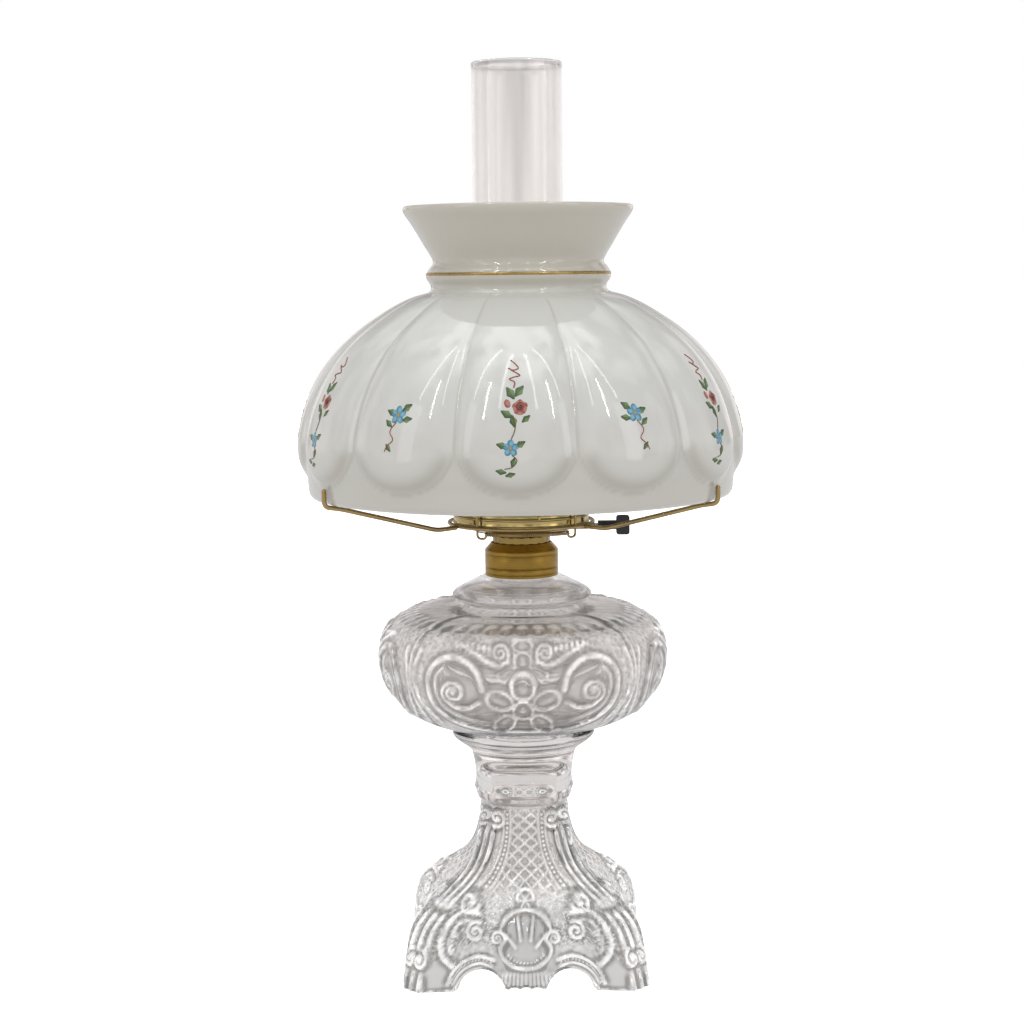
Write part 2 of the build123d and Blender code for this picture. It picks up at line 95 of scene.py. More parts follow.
class Finish:
    """A procedural material or world; node() adds any node to it and returns its output."""

    def __init__(self, name, owner=None):
        self.owner = owner or bpy.data.materials.new(name)
        self.owner.use_nodes = True
        self.tree = self.owner.node_tree

    def feed(self, socket, value):
        if isinstance(value, Value):
            self.tree.links.new(value.socket, socket)
        else:
            socket.default_value = value

    def node(self, kind, settings=None, values=None, out=0):
        made = self.tree.nodes.new("ShaderNode" + kind)
        for name, setting in (settings or {}).items():
            if name == "stops":
                ramp = made.color_ramp.elements
                while len(ramp) < len(setting):
                    ramp.new(0.5)
                for stop, (place, colour) in zip(ramp, setting):
                    stop.position = place
                    stop.color = (*colour, 1)
            else:
                setattr(made, name, setting)
        for name, value in (values or {}).items():
            self.feed(made.inputs[name], value)
        return Value(self, made.outputs[out])

    def surface(self, values):
        shader = self.tree.nodes["Principled BSDF"]
        for name, value in values.items():
            self.feed(shader.inputs[name], value)
        return self.owner

    def place(self):
        return self.node("TexCoord", out="Object")

    def noise(self, scale, detail=2.0, vector=None):
        """Cloudy noise between 0 and 1."""
        values = {"Scale": scale, "Detail": detail, "Vector": vector or self.place()}
        return self.node("TexNoise", {}, values)

    def blend(self, factor, first, second):
        """Colour that goes from the first to the second as the factor goes from 0 to 1."""
        mixed = self.node("Mix", {"data_type": "RGBA"}, {"Factor": factor}, out=2)
        shader = mixed.socket.node
        self.feed(shader.inputs[6], first)
        self.feed(shader.inputs[7], second)
        return mixed

    def spread(self, value, low, high, first=0.0, last=1.0):
        """Goes evenly from first to last as the value goes from low to high, and holds there."""
        return self.node("MapRange", {}, {0: value, 1: low, 2: high, 3: first, 4: last})

    def level(self):
        """Height above the table, in metres."""
        return self.node("SeparateXYZ", {}, {0: self.place()}, out="Z")

    def stored(self, name, out="Fac"):
        return self.node("Attribute", {"attribute_name": name}, out=out)

    def bump(self, height, strength, distance):
        values = {"Height": height, "Strength": strength, "Distance": distance}
        return self.node("Bump", {}, values)


# White for the eye, and a rosy grey room with a lighter ceiling for what the glass bends.
surround = Finish("surround", bpy.data.worlds.new("surround"))
scene.world = surround.owner
looked_at = surround.node("LightPath", out="Is Camera Ray")
direction = surround.node("TexCoord", out="Generated")
upward = surround.node("SeparateXYZ", {}, {0: direction}, out="Z")
room = surround.node(
    "ValToRGB",
    {"stops": [(0.0, (0.62, 0.60, 0.60)), (0.44, (0.60, 0.56, 0.55)), (0.52, (0.78, 0.73, 0.71)),
               (0.64, (0.50, 0.48, 0.48)), (0.80, (0.58, 0.58, 0.58)), (1.0, (0.75, 0.75, 0.75))]},
    {0: upward * 0.5 + 0.5},
)
patches = surround.noise(3.4, 2.0, direction)
contrast = surround.spread(patches, 0.40, 0.60, 0.50, 1.45)
zenith = surround.spread(upward, 0.75, 0.95, 1.0, 2.6)
furnished = surround.node("MixRGB", {"blend_type": "MULTIPLY"}, {0: 1.0, 1: room, 2: contrast * zenith})
calm = surround.blend(surround.node("LightPath", out="Is Diffuse Ray"), furnished, room)
sky = surround.tree.nodes["Background"]
surround.feed(sky.inputs["Color"], surround.blend(looked_at, calm, (1.0, 1.0, 1.0, 1.0)))


def lamp(name, place, target, size, power, sparkle=False):
    """A flat rectangular lamp that faces the target; only glass shows it, if sparkle is true."""
    light = bpy.data.lights.new(name, "AREA")
    light.shape = "RECTANGLE"
    light.size, light.size_y = size
    light.energy = power
    holder = bpy.data.objects.new(name, light)
    away = (Matrix.Translation(place).translation - Matrix.Translation(target).translation)
    holder.matrix_world = Matrix.Translation(place) @ away.to_track_quat("Z", "Y").to_matrix().to_4x4()
    holder.visible_camera = False
    holder.visible_transmission = sparkle
    scene.collection.objects.link(holder)


for number, (across, back) in enumerate([(-0.75, -0.5), (-0.25, -0.9), (0.25, -0.9), (0.75, -0.5)]):
    lamp(f"ceiling_tube_{number}", (across, back, 1.9), (0, 0, 0.2), (0.05, 1.4), 0.9, sparkle=True)
lamp("left_window", (-1.3, -0.9, 0.8), (0, 0, 0.3), (0.35, 1.2), 1.5)
lamp("right_window", (1.3, -0.9, 0.8), (0, 0, 0.3), (0.35, 1.2), 1.3)
lamp("left_strip", (-0.66, -1.0, 1.45), (0, 0, 0.36), (0.028, 0.75), 2.0, sparkle=True)
lamp("right_strip", (0.74, -0.95, 1.45), (0, 0, 0.36), (0.028, 0.75), 2.0, sparkle=True)

tabletop = bpy.data.meshes.new("tabletop")
reach = 6.0
tabletop.from_pydata(
    [(-reach, -reach, 0), (reach, -reach, 0), (reach, reach, 0), (-reach, reach, 0)], [], [(0, 1, 2, 3)]
)
floor = bpy.data.objects.new("tabletop", tabletop)
scene.collection.objects.link(floor)
paper = Finish("white_paper")
grain = paper.noise(600.0, 4.0)
tabletop.materials.append(paper.surface({
    "Base Color": paper.blend(grain, (0.36, 0.35, 0.35, 1), (0.40, 0.39, 0.39, 1)),
    "Roughness": 0.9,
    "Specular IOR Level": 0.0,
    "Emission Color": (1.0, 1.0, 1.0, 1.0),
    "Emission Strength": paper.node("LightPath", out="Is Camera Ray") * 1.0 + 0.46,
}))

# ---- Pedestal ------------------------------------------------------------------------------
# One pressing of clear glass: four legs under a waist and a cup. The mould's scrolls, lattice
# and beads stand out of the outside; the plunger left the inside smooth. Fused to the font.

MM = 0.001


def through(points, count):
    """Smooth curve through points: cubic pieces whose slope at a point follows its neighbours."""
    points = np.asarray(points, float)
    gaps = np.linalg.norm(np.diff(points, axis=0), axis=1)
    knots = np.concatenate([[0.0], np.cumsum(gaps)])
    slopes = np.gradient(points, knots, axis=0)
    at = np.linspace(0, knots[-1], count)
    span = np.clip(np.searchsorted(knots, at, side="right") - 1, 0, len(gaps) - 1)
    width = gaps[span]
    t = ((at - knots[span]) / width)[:, None]
    width = width[:, None]
    return (
        (2 * t**3 - 3 * t**2 + 1) * points[span]
        + (t**3 - 2 * t**2 + t) * width * slopes[span]
        + (3 * t**2 - 2 * t**3) * points[span + 1]
        + (t**3 - t**2) * width * slopes[span + 1]
    )


def column(levels, z, which):
    """One of the columns of a table of levels, at heights z, smoothly between its rows."""
    levels = np.asarray(levels, float)
    fine = through(levels[:, [0, which]], 400)
    order = np.argsort(fine[:, 0])
    return np.interp(z, fine[order, 0], fine[order, 1])


def ease(x, low, high):
    """0 below low, 1 above high, and a smooth step between."""
    t = np.clip((x - low) / (high - low), 0, 1)
    return t * t * (3 - 2 * t)


def grid_parts(grid, around, loop, poles, start):
    """Vertices and faces of a grid of points, which may close around, in a loop or at poles."""
    rows, columns = grid.shape[:2]
    index = np.arange(rows * columns).reshape(rows, columns)
    across = np.concatenate([index, index[:, :1]], axis=1) if around else index
    full = np.concatenate([across, across[:1]], axis=0) if loop else across
    quads = np.stack([full[:-1, :-1], full[:-1, 1:], full[1:, 1:], full[1:, :-1]], -1).reshape(-1, 4)
    vertices = grid.reshape(-1, 3)
    fans = []
    if poles:
        ends = np.stack([grid[0].mean(0), grid[-1].mean(0)])
        vertices = np.concatenate([vertices, ends])
        low, high = rows * columns, rows * columns + 1
        first, last = across[0], across[-1]
        fans.append(np.stack([first[1:], first[:-1], np.full(columns, low)], -1))
        fans.append(np.stack([last[:-1], last[1:], np.full(columns, high)], -1))
    fans = np.concatenate(fans) if fans else np.zeros((0, 3), int)
    return vertices, quads + start, fans + start


def build(name, grids, body, material, replaces=(), sharp=None, around=True, loop=False,
          poles=False):
    """Puts grids of points, in millimetres, into one mesh and joins it to its body."""
    vertices, loops, totals, start = [], [], [], 0
    for grid in grids:
        points, quads, fans = grid_parts(grid, around, loop, poles, start)
        vertices.append(points)
        loops += [quads.ravel(), fans.ravel()]
        totals += [np.full(len(quads), 4), np.full(len(fans), 3)]
        start += len(points)
    vertices = np.concatenate(vertices) * MM
    loops = np.concatenate(loops).astype(np.int32)
    totals = np.concatenate(totals).astype(np.int32)
    mesh = bpy.data.meshes.new(name)
    mesh.vertices.add(len(vertices))
    mesh.vertices.foreach_set("co", vertices.astype(np.float32).ravel())
    mesh.loops.add(len(loops))
    mesh.loops.foreach_set("vertex_index", loops)
    mesh.polygons.add(len(totals))
    mesh.polygons.foreach_set("loop_start", np.concatenate([[0], np.cumsum(totals)[:-1]]).astype(np.int32))
    mesh.polygons.foreach_set("loop_total", totals)
    mesh.update(calc_edges=True)
    mesh.polygons.foreach_set("use_smooth", np.ones(len(totals), bool))
    if sharp:
        mesh.set_sharp_from_angle(angle=math.radians(sharp))
    mesh.materials.append(material)
    piece = bpy.data.objects.new(name, mesh)
    scene.collection.objects.link(piece)
    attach(piece, body)
    if replaces:
        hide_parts(*replaces)
    return piece


def mark(piece, name, values):
    """Stores one number for each vertex, for the material to read."""
    layer = piece.data.attributes.new(name, "FLOAT", "POINT")
    padded = np.zeros(len(piece.data.vertices), np.float32)
    padded[: values.size] = values.ravel()
    layer.data.foreach_set("value", padded)


def mark_edges(piece, relief, lace, first_row):
    """Marks the crests of a relief, where a painted highlight goes, the hollows beside them, where painted
    shade goes, and its lace, from a row onwards.

    A crest is where the relief stands above its mean over the points within three steps.
    """
    padded = np.pad(relief, ((3, 3), (0, 0)), mode="edge")
    down = sum(padded[step:step + len(relief)] for step in range(7)) / 7
    crest = (relief - sum(np.roll(down, step, 1) for step in range(-3, 4)) / 7) / 0.42
    before = np.zeros((first_row, relief.shape[1]))
    for name, values, power in (("lit", crest, 1.6), ("dull", -1.8 * crest, 1.4), ("lace", lace, 1.0)):
        mark(piece, name, np.concatenate([before, np.clip(values, 0, 1) ** power]))


def turned(radius, height, azimuth):
    """Points at a radius and height, azimuth counted from the front towards +X."""
    radius, height, azimuth = np.broadcast_arrays(radius, height, azimuth)
    return np.stack([radius * np.sin(azimuth), -radius * np.cos(azimuth), height], -1)


def distance(a, b, line):
    """Distance of each point (a, b) from an open line of straight runs."""
    nearest = np.full(a.shape, 1e9)
    line = np.asarray(line, float)
    for (a0, b0), (a1, b1) in zip(line[:-1], line[1:]):
        run, rise = a1 - a0, b1 - b0
        t = np.clip(((a - a0) * run + (b - b0) * rise) / (run**2 + rise**2 + 1e-9), 0, 1)
        nearest = np.minimum(nearest, np.hypot(a - a0 - t * run, b - b0 - t * rise))
    return nearest


def ridge(a, b, line, width):
    """Rounded ridge: 1 along the line, falling as a bell away from it."""
    return np.exp(-((distance(a, b, line) / width) ** 2))


def knob(a, b, centre_a, centre_b, size):
    """Rounded knob: 1 at its centre, falling as a bell away from it."""
    return np.exp(-((np.hypot(a - centre_a, b - centre_b) / size) ** 2))


def beads(a, b, line, spacing, size):
    """Row of small domes along the line."""
    fine = through(line, 200)
    along = np.concatenate([[0], np.cumsum(np.linalg.norm(np.diff(fine, axis=0), axis=1))])
    stops = np.arange(spacing / 2, along[-1], spacing)
    height = np.zeros(a.shape)
    for stop in stops:
        ca = np.interp(stop, along, fine[:, 0])
        cb = np.interp(stop, along, fine[:, 1])
        near = np.hypot(a - ca, b - cb) / size
        height = np.maximum(height, np.sqrt(np.clip(1 - near**2, 0, 1)))
    return height


def scroll(centre_a, centre_b, outer, inner, start, turns):
    """Spiral that winds from the outer radius in to the inner one."""
    t = np.linspace(0, 1, int(24 * abs(turns)) + 2)
    angle = math.radians(start) + 2 * math.pi * turns * t
    radius = outer + (inner - outer) * t
    return np.stack([centre_a + radius * np.cos(angle), centre_b + radius * np.sin(angle)], -1)


# height, middle of a side, widest line beside a corner, middle of the bevelled corner
FOOT_LEVELS = [
    (0.0, 66.5, 71.5, 95.6), (8.0, 65.0, 71.3, 93.5), (17.0, 61.5, 70.6, 90.5),
    (26.0, 56.5, 69.0, 87.0), (35.0, 51.0, 66.0, 82.0), (41.0, 46.5, 61.5, 75.0),
    (46.0, 42.5, 56.0, 67.0), (51.0, 39.0, 50.0, 58.5), (57.0, 35.0, 42.5, 48.5),
    (65.0, 31.0, 33.0, 39.4), (75.0, 28.2, 28.6, 34.0), (86.0, 26.6, 27.0, 31.0),
    (97.0, 26.4, 26.4, 27.6),
]
FOOT_COLUMNS = 560
EDGE_ROUND = 1.2
CEILING = 124.0
WAIST_Z = 97.0


def off_side(azimuth):
    """Angle from the middle of the nearest of four sides, up to an eighth of a turn."""
    return np.abs((azimuth + math.pi / 4) % (math.pi / 2) - math.pi / 4)


def foot_radius(z, azimuth, inset):
    """Four recessed sides met by bevelled corners, as a radius; inset moves the wall inwards."""
    folded = off_side(azimuth)
    middle = column(FOOT_LEVELS, z, 1) - inset
    side = column(FOOT_LEVELS, z, 2) - inset
    corner = column(FOOT_LEVELS, z, 3) - inset * 0.9
    reach = corner * math.sqrt(2) - side
    slant = (side - middle) / np.maximum(reach, 1.0)
    flat = middle / (np.cos(folded) - slant * np.sin(folded))
    bevel = corner * math.sqrt(2) / (np.cos(folded) + np.sin(folded))
    soft = 1.2
    gap = np.clip(0.5 + 0.5 * (bevel - flat) / soft, 0, 1)
    joined = bevel * (1 - gap) + flat * gap - soft * gap * (1 - gap)
    roundness = ease(z, 80.0, WAIST_Z)
    return joined * (1 - roundness) + middle * roundness


def foot_edge(azimuth):
    """Height of the lower edge: feet and a scalloped lobe on the table, an arch between."""
    folded = off_side(azimuth)
    lateral = foot_radius(np.full(azimuth.shape, 4.0), azimuth, 0.0) * np.sin(folded)
    opening = np.sqrt(np.clip(1 - ((lateral - 27.5) / 15.0) ** 2, 0, 1))
    scallops = 0.9 * np.abs(np.sin(math.pi * (lateral - 3.5) / 7.0)) * (lateral < 13.0)
    return 12.0 * opening**1.2 + scallops * (1 - opening)


def foot_relief(z, azimuth, radius):
    """Pressed ornament on one side, mirrored about its middle and repeated on all four."""
    folded = off_side(azimuth)
    a = radius * np.sin(folded)
    off_corner = radius * (np.cos(folded) - np.sin(folded)) / math.sqrt(2)
    corner_zone = 1 - ease(off_corner, 7.0, 11.0)
    side_zone = 1 - corner_zone * ease(75.0 - z, 0.0, 20.0)
    height = np.zeros(a.shape)
    # lattice down the waist, between two ribs with beads beside them
    rib = [(8.0, 97.0), (8.3, 84.0), (10.0, 72.0), (14.0, 62.0), (20.0, 54.0)]
    rib_line = through(rib, 40)
    inside_rib = np.interp(z, rib_line[::-1, 1], rib_line[::-1, 0]) - a
    lattice = np.maximum(
        np.abs(np.cos(math.pi * (a / 7.6 + z / 7.0))) ** 14,
        np.abs(np.cos(math.pi * (a / 7.6 - z / 7.0))) ** 14,
    )
    in_waist = ease(inside_rib, 0.5, 2.0) * ease(z, 49.0, 53.0) * ease(97.0 - z, 0.0, 3.0)
    height += 0.55 * lattice * in_waist
    height += 0.8 * ridge(a, z, rib_line, 1.0)
    outer_rib = through([(11.6, 95.0), (12.2, 84.0), (14.2, 73.0), (19.0, 63.0), (27.0, 56.0)], 40)
    height += 0.9 * beads(a, z, through([(10.0, 95.0), (10.3, 84.0), (12.2, 72.0), (16.5, 62.5),
                                         (23.0, 55.0)], 40), 2.6, 0.95)
    height += 0.7 * ridge(a, z, outer_rib, 0.9)
    # volutes at the top of each leg and the fluted C-scroll down the corner
    height += 1.9 * ridge(a, z, scroll(15.5, 91.0, 4.6, 0.8, -60, -1.4), 1.1)
    height += 1.6 * knob(a, z, 15.5, 91.0, 1.6)
    flutes = 0.5 + 0.5 * np.cos(2 * math.pi * off_corner / 5.2)
    down_leg = ease(z, 44.0, 50.0) * ease(90.0 - z, 0.0, 8.0)
    height += 1.9 * flutes * (1 - ease(off_corner, 5.5, 9.0)) * down_leg
    knee = scroll(32.0, 48.5, 5.4, 0.9, 200, 1.3)
    height += 1.8 * ridge(a, z, knee, 1.2) * side_zone
    height += 2.6 * np.exp(-(((off_corner) / 8.0) ** 2 + ((z - 47.0) / 3.6) ** 2))
    lower_flutes = 0.5 + 0.5 * np.cos(2 * math.pi * off_corner / 6.4)
    below_knee = ease(z, 21.0, 26.0) * ease(44.0 - z, 0.0, 4.0)
    height += 1.8 * lower_flutes * (1 - ease(off_corner, 7.0, 11.0)) * below_knee
    height += 2.4 * knob(off_corner, z, 3.5, 18.5, 3.6)
    height += 1.4 * ridge(off_corner, z, scroll(3.5, 18.5, 5.6, 1.0, 90, -1.2), 1.0) * corner_zone
    toe_flutes = np.abs(np.cos(math.pi * off_corner / 6.0)) ** 3
    height += 1.2 * toe_flutes * corner_zone * ease(14.0 - z, 0.0, 6.0)
    # second C-scroll with a pebbled field, on each side of the shield
    big = [(27.0, 43.0), (36.0, 44.5), (44.5, 39.0), (49.0, 30.0), (48.0, 21.0), (43.0, 15.5)]
    small = through([(29.0, 38.5), (36.0, 39.8), (41.8, 34.8), (44.5, 28.5), (43.6, 22.5)], 30)
    height += 1.5 * ridge(a, z, through(big, 40), 1.3) * side_zone
    height += 0.9 * ridge(a, z, small, 0.8) * side_zone
    height += 1.0 * beads(a, z, through([(40.6, 33.0), (42.4, 28.0), (41.4, 23.0)], 12), 2.4, 1.0)
    height += 1.5 * ridge(a, z, scroll(29.0, 33.5, 5.2, 0.8, 120, -1.6), 0.9) * side_zone
    pebbles = np.sin(a * 2.1 + 1.3 * np.sin(z * 1.3)) * np.sin(z * 2.3 + 1.7 * np.sin(a * 1.1))
    field = ease(a, 13.0, 17.0) * ease(z, 22.0, 26.0) * ease(54.0 - z, 0.0, 4.0)
    height += 0.55 * np.clip(pebbles, 0, 1) * field * side_zone
    # beaded double arch over the opening in the edge
    arch_line = through([(45.5, 5.0), (42.5, 11.5), (36.0, 17.5), (27.0, 20.0), (18.5, 17.5)], 40)
    inner_arch = through([(42.5, 5.0), (39.5, 10.0), (34.0, 14.6), (27.0, 16.4), (20.0, 14.4)], 40)
    middle_arch = (arch_line + inner_arch) / 2
    for tall, line, wide in ((1.3, arch_line, 0.9), (1.0, inner_arch, 0.7)):
        height += tall * ridge(a, z, line, wide) * side_zone
    height += 0.8 * beads(a, z, middle_arch, 2.2, 0.8) * side_zone
    # shield: smooth dished field, four rays, scrolls beside it and a rosette over it
    shield = through([(0.0, 42.0), (7.0, 41.0), (12.0, 38.0), (14.2, 33.0), (11.5, 29.0), (14.8, 23.5),
                      (12.5, 17.5), (7.0, 13.2), (0.0, 11.6)], 60)
    height += 1.4 * ridge(a, z, shield, 1.0)
    height += 0.8 * beads(a, z, through([(0.0, 14.6), (6.0, 15.8), (10.6, 19.6)], 20), 2.1, 0.8)
    for tall, line, wide in (
        (1.1, [(4.6, 38.5), (3.0, 26.5)], 0.7), (0.9, [(12.0, 30.5), (6.0, 23.0)], 0.7),
        (1.4, scroll(16.2, 29.0, 3.8, 0.6, 180, -1.5), 0.9), (1.3, scroll(0.0, 47.5, 4.6, 4.6, 0, 0.5), 1.0),
    ):
        height += tall * ridge(a, z, line, wide)
    petals = 0.5 + 0.5 * np.cos(7 * np.arctan2(z - 46.5, a + 1e-6))
    height += 1.3 * petals * np.exp(-((np.hypot(a, z - 46.5) / 4.0) ** 4))
    # flutes from the beaded arc to the scalloped edge
    fan = np.abs(np.cos(math.pi * a / 2.6 + 0.02 * a * z))
    height += 0.7 * fan * ease(11.5 - z, 0.0, 3.0) * (1 - ease(a, 24.0, 28.0))
    height += 1.0 * ease(2.6 - z, 0.0, 2.0) * (1 - corner_zone)
    return height * ease(99.0 - z, 0.0, 3.0)


azimuth = np.linspace(0, 2 * math.pi, FOOT_COLUMNS, endpoint=False)[None, :]
edge = foot_edge(azimuth)
rows_low = np.linspace(0, 1, 116)[:, None] ** 1.08
outer_z = edge + EDGE_ROUND + (WAIST_Z - edge - EDGE_ROUND) * rows_low
outer_radius = foot_radius(outer_z, azimuth, 0.0)
outer_relief = foot_relief(outer_z, azimuth, outer_radius)
outer_radius = outer_radius + outer_relief
HALF_WIDTH = 71.9
outer_radius = np.minimum(outer_radius, HALF_WIDTH / np.cos(off_side(azimuth)))
outer = turned(outer_radius, outer_z, azimuth)
inner_z = edge + EDGE_ROUND + (WAIST_Z - edge - EDGE_ROUND) * np.linspace(1, 0, 13)[:, None]
inner = turned(foot_radius(inner_z, azimuth, 5.5), inner_z, azimuth)
rim_turn = np.linspace(0, math.pi, 5)[1:-1, None]
rim_mid = (outer[:1] + inner[-1:]) / 2
rim_half = (outer[:1] - inner[-1:]) / 2
rim = rim_mid - rim_half * np.cos(rim_turn)[..., None]
rim[..., 2] = edge + EDGE_ROUND - EDGE_ROUND * np.sin(rim_turn)
ceiling = through([(0.5, CEILING), (8.0, CEILING), (15.0, 123.0), (19.0, 119.0), (20.0, 112.0),
                   (20.0, 104.0), (20.9, WAIST_Z + 0.5)], 12)
cup = through([
    (26.4, WAIST_Z + 1.2), (27.4, 98.9), (28.6, 101.0), (29.2, 104.0), (30.2, 106.0), (29.6, 108.2),
    (29.2, 111.0), (29.3, 116.0), (30.0, 121.0), (30.8, 125.2), (31.8, 128.8), (35.2, 132.2),
    (39.6, 135.4), (42.6, 138.2), (43.2, 140.2), (42.2, 142.2), (40.0, 143.3),
], 30)
cup = np.concatenate([cup, [(38.0, 143.6), (20.0, 143.6), (1.0, 143.6)]])
foot_grid = np.concatenate([
    turned(ceiling[:, :1], ceiling[:, 1:], azimuth), inner, rim, outer,
    turned(cup[:, :1], cup[:, 1:], azimuth),
])


def lets_lamps_through(finish):
    """Mix Transparent in for shadow rays, so that lamplight reaches what is inside the glass."""
    air = finish.node("BsdfTransparent", {}, {"Color": (0.95, 0.95, 0.95, 1)})
    shadow = finish.node("LightPath", out="Is Shadow Ray")
    glass = Value(finish, finish.tree.nodes["Principled BSDF"].outputs[0])
    mixed = finish.node("MixShader", {}, {0: shadow, 1: glass, 2: air})
    finish.feed(finish.tree.nodes["Material Output"].inputs["Surface"], mixed)


def pressed_glass(name, tint, painted_shade_colour, shine, body, neck_z):
    """Clear glass, thin above neck_z, with a painted highlight that glows on the crests of its relief, in its
    lace and near the table, and painted shade beside the crests.
    """
    pressed = Finish(name)
    wave = pressed.noise(26.0, 3.0)
    fine_wave = pressed.noise(160.0, 2.0)
    dimples = {"Scale": 400.0, "Vector": pressed.place()}
    pits = pressed.node("TexVoronoi", {"feature": "SMOOTH_F1"}, dimples, out="Distance")
    lit, dull, lace = map(pressed.stored, ("lit", "dull", "lace"))
    gleam = pressed.spread(pressed.noise(110.0, 2.0), 0.42, 0.60, 0.22, 1.0)
    level = pressed.level()
    painted_glow_near_table = pressed.spread(level, 0.040, 0.012, 0.0, 0.12)
    # Painted highlight: the glass glows on the crests, glints in the lace and glows faintly near the table.
    sparkle = lit * gleam + lace * 0.9 * (pits - 0.25) + painted_glow_near_table
    clear = pressed.blend(wave, (*tint, 1), (*(channel + 0.02 for channel in tint), 1))
    # Painted shade: the base colour turns dark beside the crests of the relief.
    finish = pressed.surface({
        "Base Color": pressed.blend(dull * 0.85, clear, (*painted_shade_colour, 1)),
        "Roughness": fine_wave * 0.03,
        "IOR": 1.4,
        "Transmission Weight": 1.0,
        "Emission Color": pressed.blend(sparkle, (0.0, 0.0, 0.0, 1), (1.0, 1.0, 1.0, 1)),
        "Emission Strength": shine,
        "Alpha": pressed.spread(level, neck_z, neck_z + 0.003, body, 0.5),
        "Normal": pressed.bump(wave * 0.25 + fine_wave * 0.12 + pits * lace * 1.6, 0.35, 0.0012),
    })
    lets_lamps_through(pressed)
    return finish


# The second colour is the painted shade beside the crests, and the strength after it is the glow of the
# painted highlight.
foot_glass = pressed_glass("foot_glass", (0.925, 0.912, 0.905), (0.08, 0.07, 0.055), 0.42, 1.0, 0.9)
foot_piece = build("pedestal_pressing", [foot_grid], "base", foot_glass,
                   ("pedestal",), poles=True)
folded = off_side(azimuth)
off_shield = np.hypot(outer_radius * np.sin(folded) / 15.0, (outer_z - 27.0) / 15.0)
lace = ease(off_shield, 1.0, 1.2) * ease(62.0 - outer_z, 0.0, 8.0) * ease(outer_z, 15.0, 22.0)
mark_edges(foot_piece, outer_relief, lace, len(foot_grid) - len(cup) - len(outer_z))

# ---- Font ----------------------------------------------------------------------------------
# The reservoir: clear glass pressed in a four-part mould, so its plan is a little square and a
# seam runs over each corner. Each side carries two C-scrolls, a flower and a pair of leaves.

FONT_OUTLINE = [
    (40.0, 144.3), (48.5, 145.6), (58.0, 148.9), (66.0, 153.4), (72.5, 158.8), (78.0, 165.0),
    (82.2, 171.6), (84.8, 179.0), (86.2, 187.0), (85.9, 193.0), (84.2, 199.6), (81.0, 204.6),
    (76.5, 208.8), (71.0, 211.6), (66.4, 213.4),
]
SHOULDER = [(66.4, 213.4), (62.0, 214.6), (52.0, 215.6), (42.0, 216.4), (36.6, 217.2)]
NECK = [(36.6, 217.2), (34.4, 218.4), (36.6, 219.8), (40.6, 221.2), (42.0, 223.6), (40.4, 226.2),
        (36.4, 228.8), (32.0, 231.0), (28.2, 233.0), (24.4, 234.6), (21.0, 234.9)]
FONT_COLUMNS = 640
PANEL = math.pi / 2


